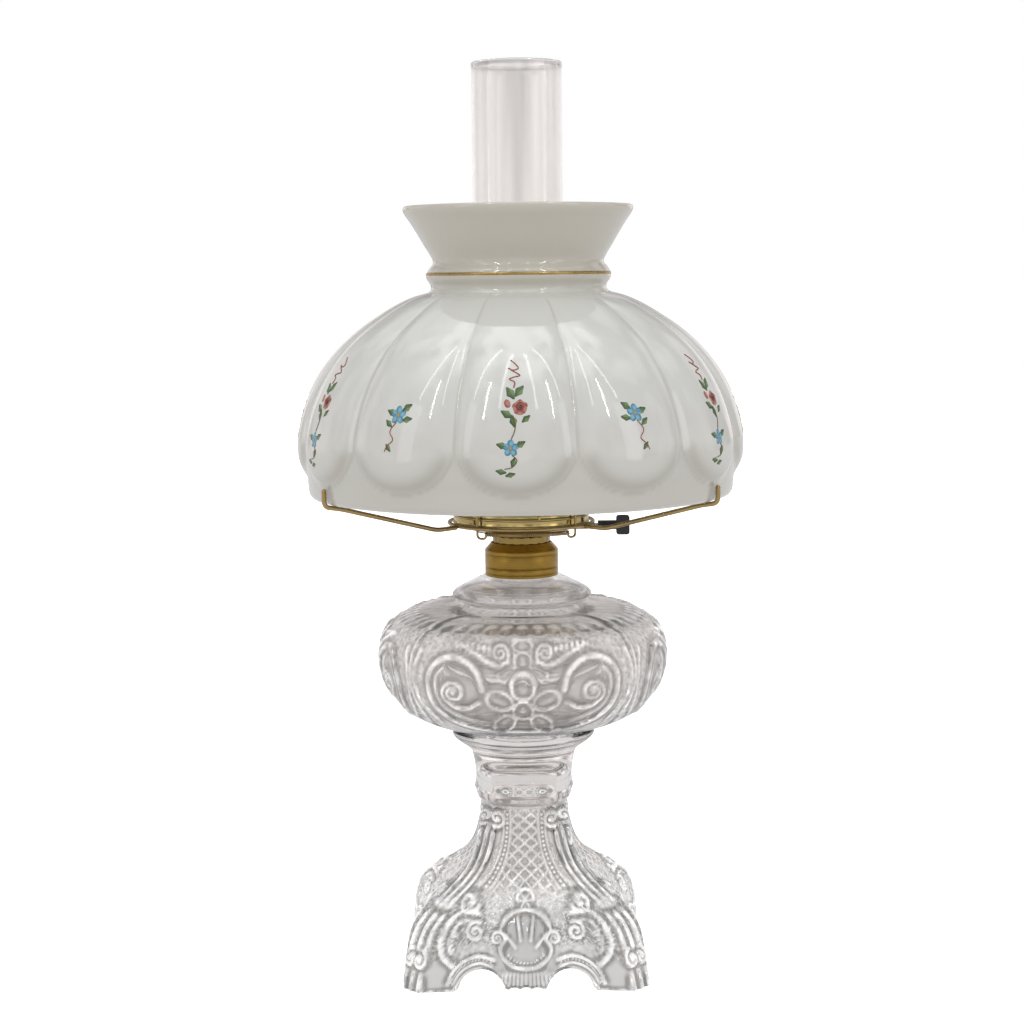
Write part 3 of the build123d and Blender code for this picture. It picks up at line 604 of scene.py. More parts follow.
def font_relief(z, azimuth, radius):
    """Ornament of one panel, mirrored about its middle: height and where the glass is stippled."""
    folded = off_side(azimuth)
    a = radius * np.sin(folded)
    height = np.zeros(a.shape)
    # garland that sweeps under the panel and up its side, with a thin line inside it
    sweep = through([
        (0.0, 154.8), (14.0, 155.2), (26.0, 156.8), (39.0, 161.0), (48.5, 168.5), (53.4, 179.0),
        (52.8, 190.0), (47.5, 197.0), (40.0, 199.6), (32.0, 197.4), (26.0, 191.0), (23.0, 181.5),
    ], 90)
    height += 1.5 * ridge(a, z, sweep, 1.5)
    inner_sweep = through([(0.0, 157.8), (14.0, 158.2), (26.0, 160.2), (37.5, 164.8), (45.5, 171.0),
                           (49.6, 180.0), (49.2, 188.6), (45.0, 194.0)], 60)
    height += 0.7 * ridge(a, z, inner_sweep, 0.8)
    volute = np.concatenate([
        through([(25.0, 174.0), (31.0, 170.2), (38.0, 170.4), (43.6, 174.6)], 16),
        scroll(39.6, 179.6, 6.4, 2.4, -50, 1.5),
    ])
    height += 1.4 * ridge(a, z, volute, 1.1)
    height += 1.7 * knob(a, z, 39.6, 179.6, 1.9)
    outer_sweep = [(46.0, 158.0), (56.0, 168.0), (61.5, 180.0), (62.0, 192.0), (58.0, 202.0)]
    height += 0.8 * ridge(a, z, through(outer_sweep, 40), 1.0)
    # pair of leaves with a volute each, under the shoulder
    height += 1.4 * ridge(a, z, scroll(12.6, 202.0, 4.6, 1.0, 200, -1.5), 0.9)
    leaf = through([(8.4, 198.0), (13.0, 195.8), (19.0, 197.2), (26.0, 201.4), (35.0, 205.4)], 40)
    upper_leaf = through([(16.5, 203.4), (24.0, 204.8), (31.0, 206.2), (36.0, 206.0)], 30)
    height += 1.3 * ridge(a, z, leaf, 1.1)
    teeth = 0.55 + 0.45 * np.cos(2 * math.pi * a / 3.1)
    height += 1.2 * ridge(a, z, upper_leaf, 1.3) * teeth
    # five-petalled flower with a ring at its heart
    heart_z = 169.4
    from_heart = np.hypot(a, z - heart_z)
    height += 1.2 * np.exp(-(((from_heart - 5.4) / 0.9) ** 2))
    height += 0.9 * np.exp(-((from_heart / 1.7) ** 2))
    for tilt, far, long, wide in ((90, 14.2, 7.6, 6.6), (24, 14.6, 7.8, 5.4), (-40, 13.4, 6.8, 4.6)):
        spin = math.radians(tilt)
        along = (a * math.cos(spin) + (z - heart_z) * math.sin(spin) - far) / long
        aside = (-a * math.sin(spin) + (z - heart_z) * math.cos(spin)) / wide
        reach = np.hypot(along, aside)
        height += 1.1 * np.exp(-(((reach - 1.0) / 0.16) ** 2))
        height += 0.35 * (0.5 + 0.5 * np.cos(5.0 * aside)) * (reach < 0.9)
    # scalloped edge of the shoulder with small round ornaments
    scallops = 0.5 + 0.5 * np.cos(2 * math.pi * folded / math.radians(7.5))
    height += 0.9 * scallops * np.exp(-(((z - 212.6) / 1.5) ** 2))
    # seam of the mould, over each corner
    seam = np.exp(-((radius * (PANEL / 2 - folded) / 1.0) ** 2))
    height += 0.9 * seam * ease(z, 150.0, 156.0)
    outside = ease(distance(a, z, sweep), 2.0, 4.0)
    side = ease(a, 47.0, 54.0) + ease(a, 14.0, 20.0) * ease(z, 199.0, 202.0)
    stipple = np.clip(side, 0, 1) * outside * ease(212.0 - z, 0.0, 3.0) * ease(z, 152.0, 160.0)
    fade = ease(z, 147.0, 152.0)
    return height * fade, stipple


def squared(azimuth, z):
    """Growth of the radius towards the corners of the plan, only round the belly."""
    return 1 + 0.0275 * (1 - np.cos(4 * azimuth)) * ease(z, 146.0, 156.0) * ease(217.0 - z, 0.0, 5.0)


azimuth = np.linspace(0, 2 * math.pi, FONT_COLUMNS, endpoint=False)[None, :]
belly = through(FONT_OUTLINE, 78)
belly_radius = belly[:, :1] * squared(azimuth, belly[:, 1:])
belly_z = np.broadcast_to(belly[:, 1:], belly_radius.shape)
relief, stipple = font_relief(belly_z, azimuth, belly_radius)
tangent = np.gradient(belly, axis=0)
tangent /= np.linalg.norm(tangent, axis=1, keepdims=True)
belly_grid = turned(
    belly_radius + relief * tangent[:, 1:], belly_z - relief * tangent[:, :1], azimuth
)
top = np.concatenate([
    through(SHOULDER, 12)[1:], through(NECK, 34)[1:], [(19.4, 234.9), (19.3, 242.6), (18.9, 243.0),
    (17.0, 243.0), (16.6, 242.6)],
    through([(16.6, 234.0), (20.0, 231.0), (28.0, 227.8), (36.4, 224.8), (37.4, 222.8), (33.6, 220.4),
             (29.6, 217.8), (32.0, 214.0), (46.0, 211.8), (62.0, 209.8), (72.0, 206.4), (78.6, 200.4),
             (82.0, 191.0), (81.6, 182.0), (78.0, 172.0), (70.0, 162.0), (58.0, 153.6), (44.0, 149.4),
             (20.0, 148.2), (1.0, 148.2)], 70),
])
top_radius = top[:, :1] * squared(azimuth, np.where(top[:, 1:] < 216.0, top[:, 1:], 230.0))
crease = ease(top[:, :1], 44.0, 54.0) * (np.abs(top[:, 1:] - 214.6) < 1.6)
folded = off_side(azimuth)
top_z = top[:, 1:] + 0.9 * crease * np.exp(-((top_radius * (PANEL / 2 - folded) / 1.2) ** 2))
pole_row = turned(np.full((3, 1), 0.0) + [[1.0], [20.0], [36.0]], np.full((3, 1), 144.2), azimuth)
font_grid = np.concatenate([pole_row, belly_grid, turned(top_radius, top_z, azimuth)])

# The second colour is the painted shade beside the crests, and the strength after it is the glow of the
# painted highlight.
font_glass = pressed_glass("font_glass", (0.862, 0.842, 0.832), (0.26, 0.24, 0.22), 0.46, 0.92, 0.224)
font_piece = build("font_pressing", [font_grid], "base", font_glass, ("font",),
                   poles=True)
mark_edges(font_piece, relief, stipple, 3)

# ---- Collar --------------------------------------------------------------------------------
# Turned brass ring with the burner's thread, set on the glass neck in plaster. Satin, with the
# fine rings that the tool left and two deeper grooves.


def lathe(outline, columns=160):
    """Closed outline of (radius, height) corners turned about the axis, as one looped grid."""
    outline = np.asarray(outline, float)
    azimuth = np.linspace(0, 2 * math.pi, columns, endpoint=False)[None, :]
    return turned(outline[:, :1], outline[:, 1:], azimuth)


def softened(outline, cut=0.18):
    """Each corner of a closed outline replaced by two points a short way along its sides."""
    outline = np.asarray(outline, float)
    before = np.roll(outline, 1, axis=0) - outline
    after = np.roll(outline, -1, axis=0) - outline
    near = np.minimum(cut / np.linalg.norm(before, axis=1), 0.4)[:, None]
    far = np.minimum(cut / np.linalg.norm(after, axis=1), 0.4)[:, None]
    return np.stack([outline + before * near, outline + after * far], 1).reshape(-1, 2)


def brass(name, colour, roughness, rings):
    """Brass with cloudy tarnish, and turned rings of the given strength."""
    metal = Finish(name)
    cloud = metal.noise(55.0, 5.0)
    along = {"W": metal.level() * 2600.0, "Scale": 1.0, "Detail": 3.0}
    ring = metal.node("TexNoise", {"noise_dimensions": "1D"}, along)
    dark = tuple(c * 0.62 for c in colour)
    return metal.surface({
        "Base Color": metal.blend(cloud * 1.4 - 0.2, (*dark, 1), (*colour, 1)),
        "Metallic": 1.0,
        "Roughness": cloud * 0.16 + (roughness - 0.08),
        "Normal": metal.bump(ring * rings + cloud * 0.1, 0.5, 0.0002),
    })


satin_brass = brass("satin_brass", (0.41, 0.255, 0.055), 0.25, 1.0)
polished_brass = brass("polished_brass", (0.64, 0.50, 0.21), 0.11, 0.06)
# The thimble has the burner's polished brass painted darker, as painted shade.
painted_shade_thimble_brass = brass("painted_shade_thimble_brass", (0.38, 0.265, 0.09), 0.11, 0.2)
wire_brass = brass("wire_brass", (0.50, 0.36, 0.16), 0.28, 0.0)
collar_outline = softened([
    (20.4, 235.2), (21.7, 235.2), (22.0, 235.6), (22.0, 236.6), (21.7, 236.9), (22.0, 237.2),
    (22.0, 240.1), (21.6, 240.4), (21.6, 240.7), (22.0, 241.0), (22.0, 248.2), (21.75, 248.45), (22.0, 248.7),
    (22.0, 250.6), (21.6, 251.2), (18.5, 254.7), (18.3, 255.0), (17.5, 255.0), (17.5, 253.0),
    (16.0, 253.0), (16.0, 244.0), (20.4, 244.0),
], 0.1)
build("collar_turned", [lathe(collar_outline)], "base", satin_brass, ("collar",),
      sharp=28, loop=True)
plaster = Finish("plaster")
lumps = plaster.noise(900.0, 4.0)
white_plaster = plaster.surface({
    "Base Color": plaster.blend(lumps, (0.70, 0.66, 0.58, 1), (0.85, 0.82, 0.76, 1)),
    "Roughness": 0.9,
    "Normal": plaster.bump(lumps, 0.4, 0.0003),
})

# ---- Burner --------------------------------------------------------------------------------
# Polished pressed brass: the thimble screws into the collar, the gallery cup holds the
# chimney's foot, and a pierced deck with four riveted spring prongs sits inside it.

azimuth = np.linspace(0, 2 * math.pi, 240, endpoint=False)[None, :]
thimble_outline = softened([
    (14.5, 244.6), (15.7, 244.6), (15.7, 253.4), (17.0, 253.4), (17.2, 253.8), (17.2, 258.6),
    (17.5, 259.4), (18.0, 259.8), (18.0, 260.7), (17.4, 261.0), (5.0, 261.0), (5.0, 259.9),
    (15.9, 259.9), (15.9, 254.2), (14.5, 254.2),
], 0.12)
thimble_radius = thimble_outline[:, :1] - 0.40 * (
    np.abs(np.cos(9 * azimuth)) ** 4 * ((thimble_outline[:, :1] > 16.9) & (thimble_outline[:, 1:] < 259))
)
build("thimble_pressed", [turned(thimble_radius, thimble_outline[:, 1:], azimuth)], "burner",
      painted_shade_thimble_brass, ("burner_thimble",), sharp=28, loop=True)

gallery_outline = np.concatenate([
    [(5.0, 261.0), (20.9, 261.0), (36.4, 264.8)],
    through([(37.0, 264.9), (39.2, 265.5), (40.3, 266.4), (40.5, 267.0)], 8),
    through([(40.6, 267.2), (41.0, 267.6), (41.0, 268.3), (40.65, 268.7)], 7),
    [(40.6, 269.0), (40.6, 271.4)],
    through([(40.75, 271.6), (41.0, 271.9), (41.0, 272.5), (40.7, 272.9)], 6),
    [(40.6, 273.1), (40.6, 274.2)],
    through([(40.8, 274.3), (41.0, 274.7), (40.8, 275.0), (40.4, 275.0), (40.05, 274.7)], 8),
    [(40.0, 274.0), (40.0, 267.8), (38.9, 266.6), (36.2, 265.8), (20.8, 262.0), (5.0, 262.0)],
])
build("gallery_pressed", [lathe(gallery_outline, 240)], "burner", polished_brass,
      ("gallery",), sharp=35, loop=True)

black = Finish("black_moulding")
speck = black.noise(1400.0, 3.0)
smear = black.noise(70.0, 3.0)
black_moulding = black.surface({
    "Base Color": black.blend(smear, (0.012, 0.012, 0.013, 1), (0.030, 0.029, 0.030, 1)),
    "Roughness": smear * 0.25 + 0.25,
    "Normal": black.bump(speck, 0.25, 0.0001),
})
steel = Finish("plated_steel")
drawn = steel.noise(300.0, 4.0)
plated_steel = steel.surface({
    "Base Color": steel.blend(drawn, (0.42, 0.42, 0.41, 1), (0.66, 0.66, 0.65, 1)),
    "Metallic": 1.0,
    "Roughness": drawn * 0.2 + 0.2,
    "Normal": steel.bump(drawn, 0.2, 0.0001),
})
bulb_finish = Finish("thin_glass")
haze = bulb_finish.noise(40.0, 2.0)
thin_glass = bulb_finish.surface({
    "Base Color": bulb_finish.blend(haze, (0.96, 0.96, 0.95, 1), (0.99, 0.99, 0.98, 1)),
    "Roughness": haze * 0.03,
    "IOR": 1.45,
    "Alpha": haze * 0.1 + 0.3,
    "Transmission Weight": 1.0,
})
carried = {
    white_plaster: ["collar_cement"],
    polished_brass: ["chimney_deck", "chimney_prongs", "prong_rivets", "socket_screw_shell",
                     "centre_contact"],
    satin_brass: ["terminal_screws", "key_bushing", "bulb_cap"],
    black_moulding: ["socket_body", "cord_bushing", "key_rotor", "turn_key", "bulb_tip"],
    plated_steel: ["mounting_nipple", "lock_nut", "key_stem", "filament"],
    thin_glass: ["bulb_glass", "filament_mount"],
}
for finish, names in carried.items():
    for name in names:
        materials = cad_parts[name].data.materials
        materials.clear()
        materials.append(finish)

# ---- Chimney -------------------------------------------------------------------------------
# Blown clear glass, cut and fire polished: a foot for the gallery, a slight bulge round the
# bulb and a long straight tube that stands out of the shade.

WALL = 1.7
TUBE_RADIUS = 26.5
bulge = through([
    (37.5, 276.0), (36.8, 280.0), (37.5, 296.0), (34.2, 326.0), (28.6, 362.0), (TUBE_RADIUS, 400.0),
], 40)
straight = np.stack([np.full(24, TUBE_RADIUS), np.linspace(404.0, 535.4, 24)], -1)
bead_turn = np.linspace(-0.4, 3.3, 10)
bead = np.stack([25.75 + 1.0 * np.cos(bead_turn), 536.4 + 1.15 * np.sin(bead_turn)], -1)
inside = np.concatenate([bulge, straight])[::-1] - [WALL, 0.0]
chimney_outline = np.concatenate([
    [(36.0, 272.1), (37.5, 272.1), (37.85, 272.5), (37.85, 275.2)], bulge, straight, bead, inside,
])
tube = Finish("chimney_glass")
drift = tube.noise(9.0, 2.0)
at_rim = tube.spread(tube.level(), 0.5342, 0.5352)
chimney_glass = tube.surface({
    "Base Color": tube.blend(drift, (0.97, 0.96, 0.94, 1), (0.985, 0.978, 0.962, 1)),
    "Roughness": drift * 0.02,
    "IOR": 1.5,
    "Alpha": drift * 0.05 + (at_rim * 0.5 + 0.32),
    "Transmission Weight": 1.0,
    "Normal": tube.bump(drift, 0.15, 0.002),
})
lets_lamps_through(tube)
build("chimney_blown", [lathe(chimney_outline, 192)], "glass_chimney", chimney_glass,
      ("chimney",), loop=True)

# ---- Wire holder ---------------------------------------------------------------------------
# Drawn brass wire, bent and brazed: a ring round the gallery, three arms with upright hooks
# for the shade's rim, clips over the gallery's edge and a coil spring between two of them.


def bent(points, corner, steps=7):
    """Route along straight runs with each corner rounded by a quadratic arc."""
    points = np.asarray(points, float)
    middle = points[1:-1, None]
    back = points[:-2, None] - middle
    ahead = points[2:, None] - middle
    back *= np.minimum(corner / np.linalg.norm(back, axis=-1, keepdims=True), 0.48)
    ahead *= np.minimum(corner / np.linalg.norm(ahead, axis=-1, keepdims=True), 0.48)
    t = np.linspace(0, 1, steps)[None, :, None]
    arcs = middle + back * (1 - t) ** 2 + ahead * t**2
    return np.concatenate([points[:1], arcs.reshape(-1, points.shape[1]), points[-1:]])


def wire(route, radius, closed=False, sides=14, up=(0.0, 0.0, 1.0)):
    """Round wire along a route of points: rings square to it, with rounded ends if it is open."""
    route = np.asarray(route, float)
    if closed:
        heading = np.roll(route, -1, axis=0) - np.roll(route, 1, axis=0)
        size = np.full(len(route), radius)
    else:
        heading = np.gradient(route, axis=0)
        turn = np.linspace(0.15, math.pi / 2, 4)
        first = heading[0] / np.linalg.norm(heading[0])
        last = heading[-1] / np.linalg.norm(heading[-1])
        end = radius * np.sin(turn)
        size = np.concatenate([end, np.full(len(route) - 2, radius), end[::-1]])
        head = route[0] + first * radius * (1 - np.cos(turn))[:, None]
        tail = route[-1] - last * radius * (1 - np.cos(turn[::-1]))[:, None]
        route = np.concatenate([head, route[1:-1], tail])
        ends = np.repeat(first[None], 4, 0), np.repeat(last[None], 4, 0)
        heading = np.concatenate([ends[0], heading[1:-1], ends[1]])
    heading /= np.linalg.norm(heading, axis=1, keepdims=True)
    side = np.cross(heading, np.asarray(up, float))
    side /= np.linalg.norm(side, axis=1, keepdims=True) + 1e-12
    over = np.cross(side, heading)
    turn = np.linspace(0, 2 * math.pi, sides, endpoint=False)[None, :, None]
    size = size[:, None, None]
    return route[:, None] + size * (np.cos(turn) * side[:, None] - np.sin(turn) * over[:, None])


def radial(points, azimuth):
    """Points (radius, height) set in the upright plane at an azimuth."""
    points = np.asarray(points, float)
    return turned(points[:, 0], points[:, 1], math.radians(azimuth))


def tangent_at(azimuth):
    return (math.cos(math.radians(azimuth)), math.sin(math.radians(azimuth)), 0.0)


def holder_piece(name, grids, node, closed=False):
    build(name, grids, "shade_holder", wire_brass, (node,), loop=closed, poles=not closed)


RING_RADIUS, RING_Z = 43.1, 267.2
full_turn = np.linspace(0, 2 * math.pi, 144, endpoint=False)
ring = wire(turned(RING_RADIUS, RING_Z, full_turn), 1.2, closed=True)
holder_piece("holder_ring_wire", [ring], "holder_ring", closed=True)
arm_route = bent([(43.3, 266.6), (57.0, 265.9), (119.0, 282.6), (129.0, 284.2), (129.0, 294.7)], 3.4)
for place, arm_azimuth in (("left", -60.0), ("right", 60.0), ("rear", 180.0)):
    arm = wire(radial(arm_route, arm_azimuth), 1.4, up=tangent_at(arm_azimuth))
    holder_piece(f"holder_arm_{place}_wire", [arm], f"holder_arm_{place}")
clip_grids = []
CLIPS = [(-37.0, 1), (48.0, -1), (152.0, 1)]
CLIP_RADIUS = 42.6
for clip_azimuth, turn in CLIPS:
    hook = bent([(39.0, 273.4), (39.0, 276.6), (CLIP_RADIUS, 276.6), (CLIP_RADIUS, 266.0)], 1.3)
    clip_grids.append(wire(radial(hook, clip_azimuth), 0.7, sides=10, up=tangent_at(clip_azimuth)))
    sweep_degrees = math.degrees(6.0 / CLIP_RADIUS) * turn
    loop = bent([(0.0, 266.4), (0.0, 261.4), (1.0, 261.4), (1.0, 265.6)], 2.6)
    loop_azimuth = np.radians(clip_azimuth + sweep_degrees * loop[:, 0])
    outwards = (math.sin(math.radians(clip_azimuth)), -math.cos(math.radians(clip_azimuth)), 0.0)
    clip_grids.append(wire(turned(CLIP_RADIUS, loop[:, 1], loop_azimuth), 0.7, sides=10, up=outwards))
holder_piece("holder_clip_wires", clip_grids, "holder_clips")
SPRING_TURNS = 46
wind = np.linspace(0, 2 * math.pi * SPRING_TURNS, SPRING_TURNS * 12)
spring_azimuth = np.radians(np.linspace(-29.0, 40.0, len(wind)))
coil_route = turned(CLIP_RADIUS + 1.1 * np.cos(wind), 264.3 + 1.1 * np.sin(wind), spring_azimuth)
coil = wire(coil_route, 0.38, sides=6, up=(0.02, 0.9, 0.43))
holder_piece("holder_spring_coil", [coil], "holder_spring")

# ---- Shade ---------------------------------------------------------------------------------
# Opal glass blown in a mould of twelve melon lobes, with a plain rim, a moulded ring at the
# neck and a flared crown. Decorated with enamel sprays and a gilt line, and fired.

LOBE = math.pi / 6
SHADE_TURN = math.radians(-1.0)
SHADE_COLUMNS = 576
# height, radius over the lobes, how far the lobes stand out of the plain form
DOME = [
    (285.0, 125.0, 5.0), (287.6, 126.2, 5.0), (291.2, 126.5, 5.0), (294.8, 127.1, 5.0), (298.4, 129.0, 5.0),
    (302.0, 130.9, 5.0), (306.0, 132.2, 5.0), (312.7, 132.75, 5.0), (319.8, 132.3, 5.0), (326.9, 131.1, 5.0),
    (341.0, 126.9, 5.0), (355.0, 120.1, 4.8), (369.1, 109.8, 4.4), (383.1, 94.8, 3.6), (390.1, 84.6, 3.0),
    (397.1, 73.0, 2.0), (401.6, 63.0, 0.9), (404.2, 53.6, 0.0),
]
LOBE_FOOT = 321.0
LOBE_FOOT_HEIGHT = 26.5


def lobe_height(z, azimuth):
    """How far a lobe stands out, from 0 in the groove to 1 on its crown; its foot is round."""
    off_middle = np.abs((azimuth - SHADE_TURN + LOBE / 2) % LOBE - LOBE / 2) / (LOBE / 2)
    low = np.clip((LOBE_FOOT - z) / LOBE_FOOT_HEIGHT, 0, None)
    return 1 - np.minimum(np.hypot(off_middle, low), 1.0) ** 3.1


def shade_radius(z, azimuth):
    depth = column(DOME, z, 2)
    return column(DOME, z, 1) - depth * (lobe_height(z, SHADE_TURN) - lobe_height(z, azimuth))


azimuth = np.linspace(0, 2 * math.pi, SHADE_COLUMNS, endpoint=False)[None, :]
dome_z = through(np.asarray(DOME)[:, :2], 74)[:, 0][:, None]
dome_radius = shade_radius(dome_z, azimuth)
neck = through([(53.6, 404.4), (52.2, 405.6), (51.9, 407.8), (52.9, 409.8), (54.0, 411.4), (54.6, 413.6),
                (54.2, 416.0), (52.6, 418.6), (50.8, 420.8), (50.5, 422.6), (51.8, 425.4), (55.4, 431.4),
                (59.8, 439.0), (64.3, 446.2), (66.9, 450.0), (67.9, 452.4), (67.8, 454.0)], 44)
crown_rim = [(67.2, 454.5), (65.8, 454.4), (64.8, 453.4), (63.9, 450.8)]
lining = through([
    (61.0, 445.6), (56.6, 438.4), (50.2, 428.0), (47.4, 422.0), (47.8, 414.0), (47.6, 402.0),
], 16)
neck_outline = np.concatenate([neck, crown_rim, lining])
neck_grid = turned(neck_outline[:, :1], neck_outline[:, 1:], azimuth)
dome_slope = np.gradient(np.stack([dome_radius.mean(1), dome_z[:, 0]], -1), axis=0)
dome_slope /= np.linalg.norm(dome_slope, axis=1, keepdims=True)
SHADE_WALL = 4.0
lining_radius = dome_radius - SHADE_WALL * dome_slope[:, 1:]
lining_z = dome_z + SHADE_WALL * dome_slope[:, :1]
lining_rows = np.arange(70, 0, -3)
dome_lining = turned(lining_radius[lining_rows], lining_z[lining_rows], azimuth)
rim = np.array([(121.2, 286.2), (121.6, 285.2), (123.4, 285.05), (124.6, 285.1)])
rim_fold = turned(rim[:, :1], rim[:, 1:], azimuth)
shade_grid = np.concatenate([turned(dome_radius, dome_z, azimuth)[1:], neck_grid, dome_lining, rim_fold])

opal = Finish("opal_glass")
milk = opal.noise(7.0, 3.0)
seeds = opal.noise(240.0, 3.0)
height = opal.level()
# Painted light: the colour turns warmer towards the rim, a painted warm reflection from below, and darker and
# warmer on the neck and crown, painted shade.
upper = opal.spread(height, 0.400, 0.412)
lower = opal.spread(height, 0.345, 0.290)
# Painted shade: the grooves and the foot of each lobe darken the base colour.
hollow = opal.stored("hollow")
dome_colour = opal.blend(milk, (0.585, 0.592, 0.565, 1), (0.635, 0.642, 0.618, 1))
body_colour = opal.blend(lower, dome_colour, (0.625, 0.618, 0.575, 1))
body_colour = opal.blend(upper, body_colour, (0.53, 0.51, 0.445, 1))
opal_glass = opal.surface({
    "Base Color": opal.blend(hollow, body_colour, (0.30, 0.285, 0.225, 1)),
    "Roughness": seeds * 0.06 + 0.05,
    "IOR": 1.5,
    "Subsurface Weight": 0.1,
    "Subsurface Radius": (0.004, 0.004, 0.004),
    "Coat Weight": 0.5,
    "Coat Roughness": 0.02,
    # A faint painted glow: the glaze gives off a little warm light of its own.
    "Emission Color": (1.0, 0.98, 0.93, 1.0),
    "Emission Strength": 0.03,
    "Normal": opal.bump(seeds * 0.3 + milk, 0.12, 0.001),
})
shade_piece = build("shade_blown", [shade_grid], "glass_shade", opal_glass, ("shade",),
                    loop=True)
# painted shade in the grooves and at the round foot of each lobe
rise = lobe_height(dome_z, azimuth)
lobe_toe = ease(LOBE_FOOT + 4.0 - dome_z, 0.0, 14.0)
toe_shade = 0.50 * np.exp(-(((rise - 0.42) / 0.30) ** 2))
toe_shade = toe_shade + 0.30 * np.exp(-(((rise - 0.08) / 0.09) ** 2))
groove = (1 - ease(rise, 0.0, 0.16)) * ease(dome_z, LOBE_FOOT - 12.0, LOBE_FOOT + 6.0)
groove = groove * ease(404.0 - dome_z, 0.0, 6.0)
mark(shade_piece, "hollow", np.clip(0.40 * groove + toe_shade * lobe_toe, 0, 1)[1:])

gilt = Finish("gilt_line")
worn = gilt.noise(420.0, 4.0)
gilding = gilt.surface({
    "Base Color": gilt.blend(worn, (0.26, 0.17, 0.06, 1), (0.58, 0.43, 0.18, 1)),
    "Metallic": 1.0,
    "Roughness": worn * 0.2 + 0.2,
})
gilt_outline = [(53.7, 413.7), (54.55, 414.0), (54.8, 414.9), (54.45, 415.8), (53.7, 416.1), (53.3, 414.9)]
build("gilt_band", [lathe(gilt_outline, 192)], "glass_shade", gilding, loop=True)

# ---- Painted sprays ------------------------------------------------------------------------
# Enamel fired on the lobes: on every second lobe a ribbon, a rose and a blue flower on one
# stem, and on the lobes between them a smaller blue flower with leaves.


def on_shade(across, z, lobe, lift):
    """Points given as (mm across a lobe, height) laid on the glaze, raised by lift."""
    azimuth = SHADE_TURN + lobe * LOBE + across / column(DOME, z, 1)
    slope = (column(DOME, z + 0.5, 1) - column(DOME, z - 0.5, 1))
    fall = np.hypot(1, slope)
    radius = shade_radius(z, azimuth) + lift / fall
    return turned(radius, z - lift * slope / fall, azimuth)


paint_grids, paint_colours = [], []


def dab(across, z, long, wide, tilt, inner, outer, lobe, lift=0.16, point=0.0, lobes=0,
        dark_side=0.0):
    """One brush dab: an oval, pointed if point is above 0 and petalled if lobes is above 0."""
    turn = np.linspace(0, 2 * math.pi, 28, endpoint=False)[None, :]
    ring = np.array([0.02, 0.35, 0.65, 0.88, 1.0])[:, None]
    reach = 1 - point * np.abs(np.sin(turn)) ** 1.5 * np.abs(np.cos(turn))
    if lobes:
        reach = 0.72 + 0.28 * np.abs(np.cos(lobes * turn / 2))
    u, v = long * ring * reach * np.cos(turn), wide * ring * reach * np.sin(turn)
    spin = math.radians(tilt)
    a = across + u * math.cos(spin) - v * math.sin(spin)
    b = z + u * math.sin(spin) + v * math.cos(spin)
    height = lift * (1 - ring**4) - 0.05
    paint_grids.append(on_shade(a, b, lobe, np.broadcast_to(height, a.shape)))
    mix = np.clip(ring + dark_side * np.sin(turn) * ring, 0, 1)[..., None]
    paint_colours.append((np.asarray(inner) * (1 - mix) + np.asarray(outer) * mix).reshape(-1, 3))


def stroke(points, width, colour, lobe, lift=0.05):
    """A thin line of paint, half sunk in the glaze."""
    line = through(points, 8 * len(points))
    route = on_shade(line[:, 0], line[:, 1], lobe, np.full(len(line), lift))
    ring = wire(route, width / 2, sides=6, up=(0.013, 0.021, 1.0))
    paint_grids.append(ring)
    paint_colours.append(np.tile(colour, (ring.shape[0] * ring.shape[1], 1)))


LEAF_LIGHT, LEAF_DARK = (0.16, 0.27, 0.09), (0.025, 0.075, 0.03)
BLUE_LIGHT, BLUE_DARK = (0.22, 0.50, 0.62), (0.03, 0.18, 0.32)
ROSE_LIGHT, ROSE_MID, ROSE_DARK = (0.50, 0.23, 0.18), (0.27, 0.06, 0.05), (0.12, 0.015, 0.02)
STEM, RIBBON, YELLOW = (0.13, 0.07, 0.02), (0.28, 0.06, 0.02), (0.55, 0.36, 0.05)


def leaf(across, z, tilt, lobe, long=3.1, wide=1.6, grown=1.28):
    long, wide = grown * long, grown * wide * 1.12
    dab(across, z, long, wide, tilt, LEAF_LIGHT, LEAF_DARK, lobe, 0.12, point=0.6, dark_side=0.8)
    reach = 0.8 * long
    run, rise = reach * math.cos(math.radians(tilt)), reach * math.sin(math.radians(tilt))
    vein = [(across - run, z - rise), (across, z), (across + run, z + rise)]
    stroke(vein, 0.32, (0.05, 0.10, 0.03), lobe, 0.12)


def blue_flower(across, z, size, lobe):
    for petal in range(5):
        angle = math.radians(90 + 72 * petal)
        aside, up = 0.55 * size * math.cos(angle), 0.55 * size * math.sin(angle)
        dab(across + aside, z + up, 0.5 * size, 0.42 * size, 90 + 72 * petal, BLUE_LIGHT, BLUE_DARK,
            lobe, 0.15, dark_side=0.5)
    dab(across, z, 0.22 * size, 0.22 * size, 0, YELLOW, (0.35, 0.16, 0.03), lobe, 0.26)


def rose(across, z, size, lobe):
    dab(across, z, size, 0.92 * size, 20, ROSE_MID, ROSE_MID, lobe, 0.14, lobes=5)
    for angle, far in ((200, 0.55), (270, 0.6), (340, 0.55), (60, 0.5), (130, 0.5)):
        turn = math.radians(angle)
        aside, up = far * size * math.cos(turn), far * size * math.sin(turn)
        dab(across + aside, z + up, 0.44 * size, 0.26 * size, angle + 90, ROSE_LIGHT, ROSE_MID,
            lobe, 0.2, dark_side=0.6)
    heart = scroll(across, z + 0.05 * size, 0.5 * size, 0.1 * size, 30, 1.3)
    stroke(heart[::3], 0.4, ROSE_DARK, lobe, 0.24)
    dab(across, z, 0.16 * size, 0.16 * size, 0, ROSE_DARK, ROSE_DARK, lobe, 0.3)


def leaves(lobe, side, rows):
    """Leaves given as (across, height, tilt off upright, length, width); side mirrors them."""
    for across, z, tilt, long, wide in rows:
        leaf(across * side, z, 90 + tilt * side, lobe, long, wide)


def tendril(lobe, side, points, width, colour):
    """A stroke whose points side mirrors."""
    stroke(np.multiply(points, (side, 1)), width, colour, lobe)


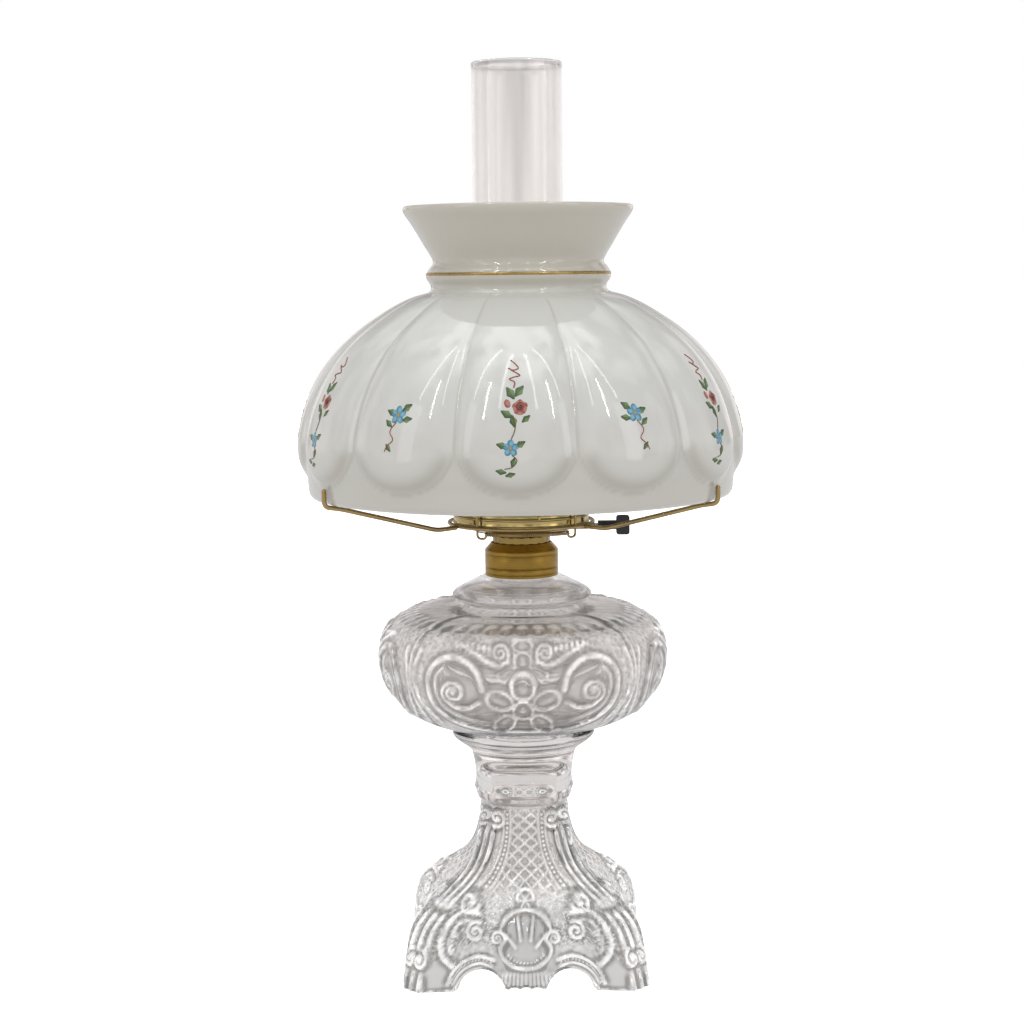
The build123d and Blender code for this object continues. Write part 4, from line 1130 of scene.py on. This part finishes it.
def large_spray(lobe, side):
    """Ribbon, leaves, rose, stem and blue flower, from top to bottom; side mirrors it."""
    tendril(lobe, side, [
        (-3.0, 368.5), (-0.4, 366.4), (1.3, 364.2), (-1.6, 363.2), (-4.0, 364.2), (-1.4, 362.6),
        (2.1, 360.4), (-1.6, 359.4), (-3.4, 358.6), (-0.6, 356.8), (-1.2, 353.8),
    ], 0.75, RIBBON)
    leaves(lobe, side, [
        (-2.9, 351.2, 35, 3.4, 1.9), (1.7, 352.2, -40, 3.4, 1.8), (-4.9, 340.2, 60, 3.3, 1.7),
        (-1.4, 336.6, 15, 3.2, 1.7), (5.4, 337.8, -50, 2.6, 1.4),
    ])
    rose(2.2 * side, 343.9, 4.9, lobe)
    dab(-4.6 * side, 345.8, 2.5, 1.9, 90 + 20 * side, ROSE_LIGHT, ROSE_MID, lobe, dark_side=0.7)
    tendril(lobe, side, [(-1.4, 339.0), (-0.4, 333.0), (-2.6, 327.0)], 0.55, STEM)
    tendril(lobe, side, [(-2.4, 319.0), (0.4, 316.0), (-1.8, 312.6), (-6.4, 311.2)], 0.55, STEM)
    leaves(lobe, side, [
        (-7.6, 323.8, 75, 2.9, 1.5), (2.2, 324.4, -60, 2.9, 1.5), (-1.6, 315.0, -20, 2.4, 1.3),
        (-8.2, 309.9, 80, 2.7, 1.3), (-3.2, 308.2, -75, 2.5, 1.2),
    ])
    blue_flower(-2.9 * side, 322.4, 4.6, lobe)


def small_spray(lobe, side):
    """Leaves round a blue flower over a ribbon; side mirrors it."""
    tendril(lobe, side, [
        (-0.8, 335.6), (-4.2, 330.0), (-1.8, 326.0), (-5.4, 322.4), (-7.0, 319.4),
    ], 0.6, RIBBON)
    leaves(lobe, side, [
        (4.4, 343.2, -55, 3.1, 1.7), (-4.9, 340.6, 70, 2.9, 1.5), (5.6, 337.0, -80, 2.9, 1.5),
        (-5.6, 334.6, 50, 2.6, 1.4), (-4.6, 321.6, 40, 2.4, 1.2),
    ])
    blue_flower(-0.4 * side, 339.2, 5.0, lobe)


for lobe in range(12):
    if lobe % 2 == 0:
        large_spray(lobe, 1)
    else:
        small_spray(lobe, 1 if lobe % 4 == 3 else -1)

enamel = Finish("enamel")
pigment = enamel.stored("pigment", "Color")
brushing = enamel.noise(900.0, 3.0)
enamel_paint = enamel.surface({
    "Base Color": enamel.blend(brushing * 0.12, pigment, (0.40, 0.38, 0.30, 1)),
    "Roughness": brushing * 0.2 + 0.15,
})
sprays = build("painted_sprays", paint_grids, "glass_shade", enamel_paint)
layer = sprays.data.color_attributes.new("pigment", "FLOAT_COLOR", "POINT")
colours = np.concatenate(paint_colours)
colours = np.concatenate([colours, np.ones((len(colours), 1))], 1)
layer.data.foreach_set("color", colours.astype(np.float32).ravel())
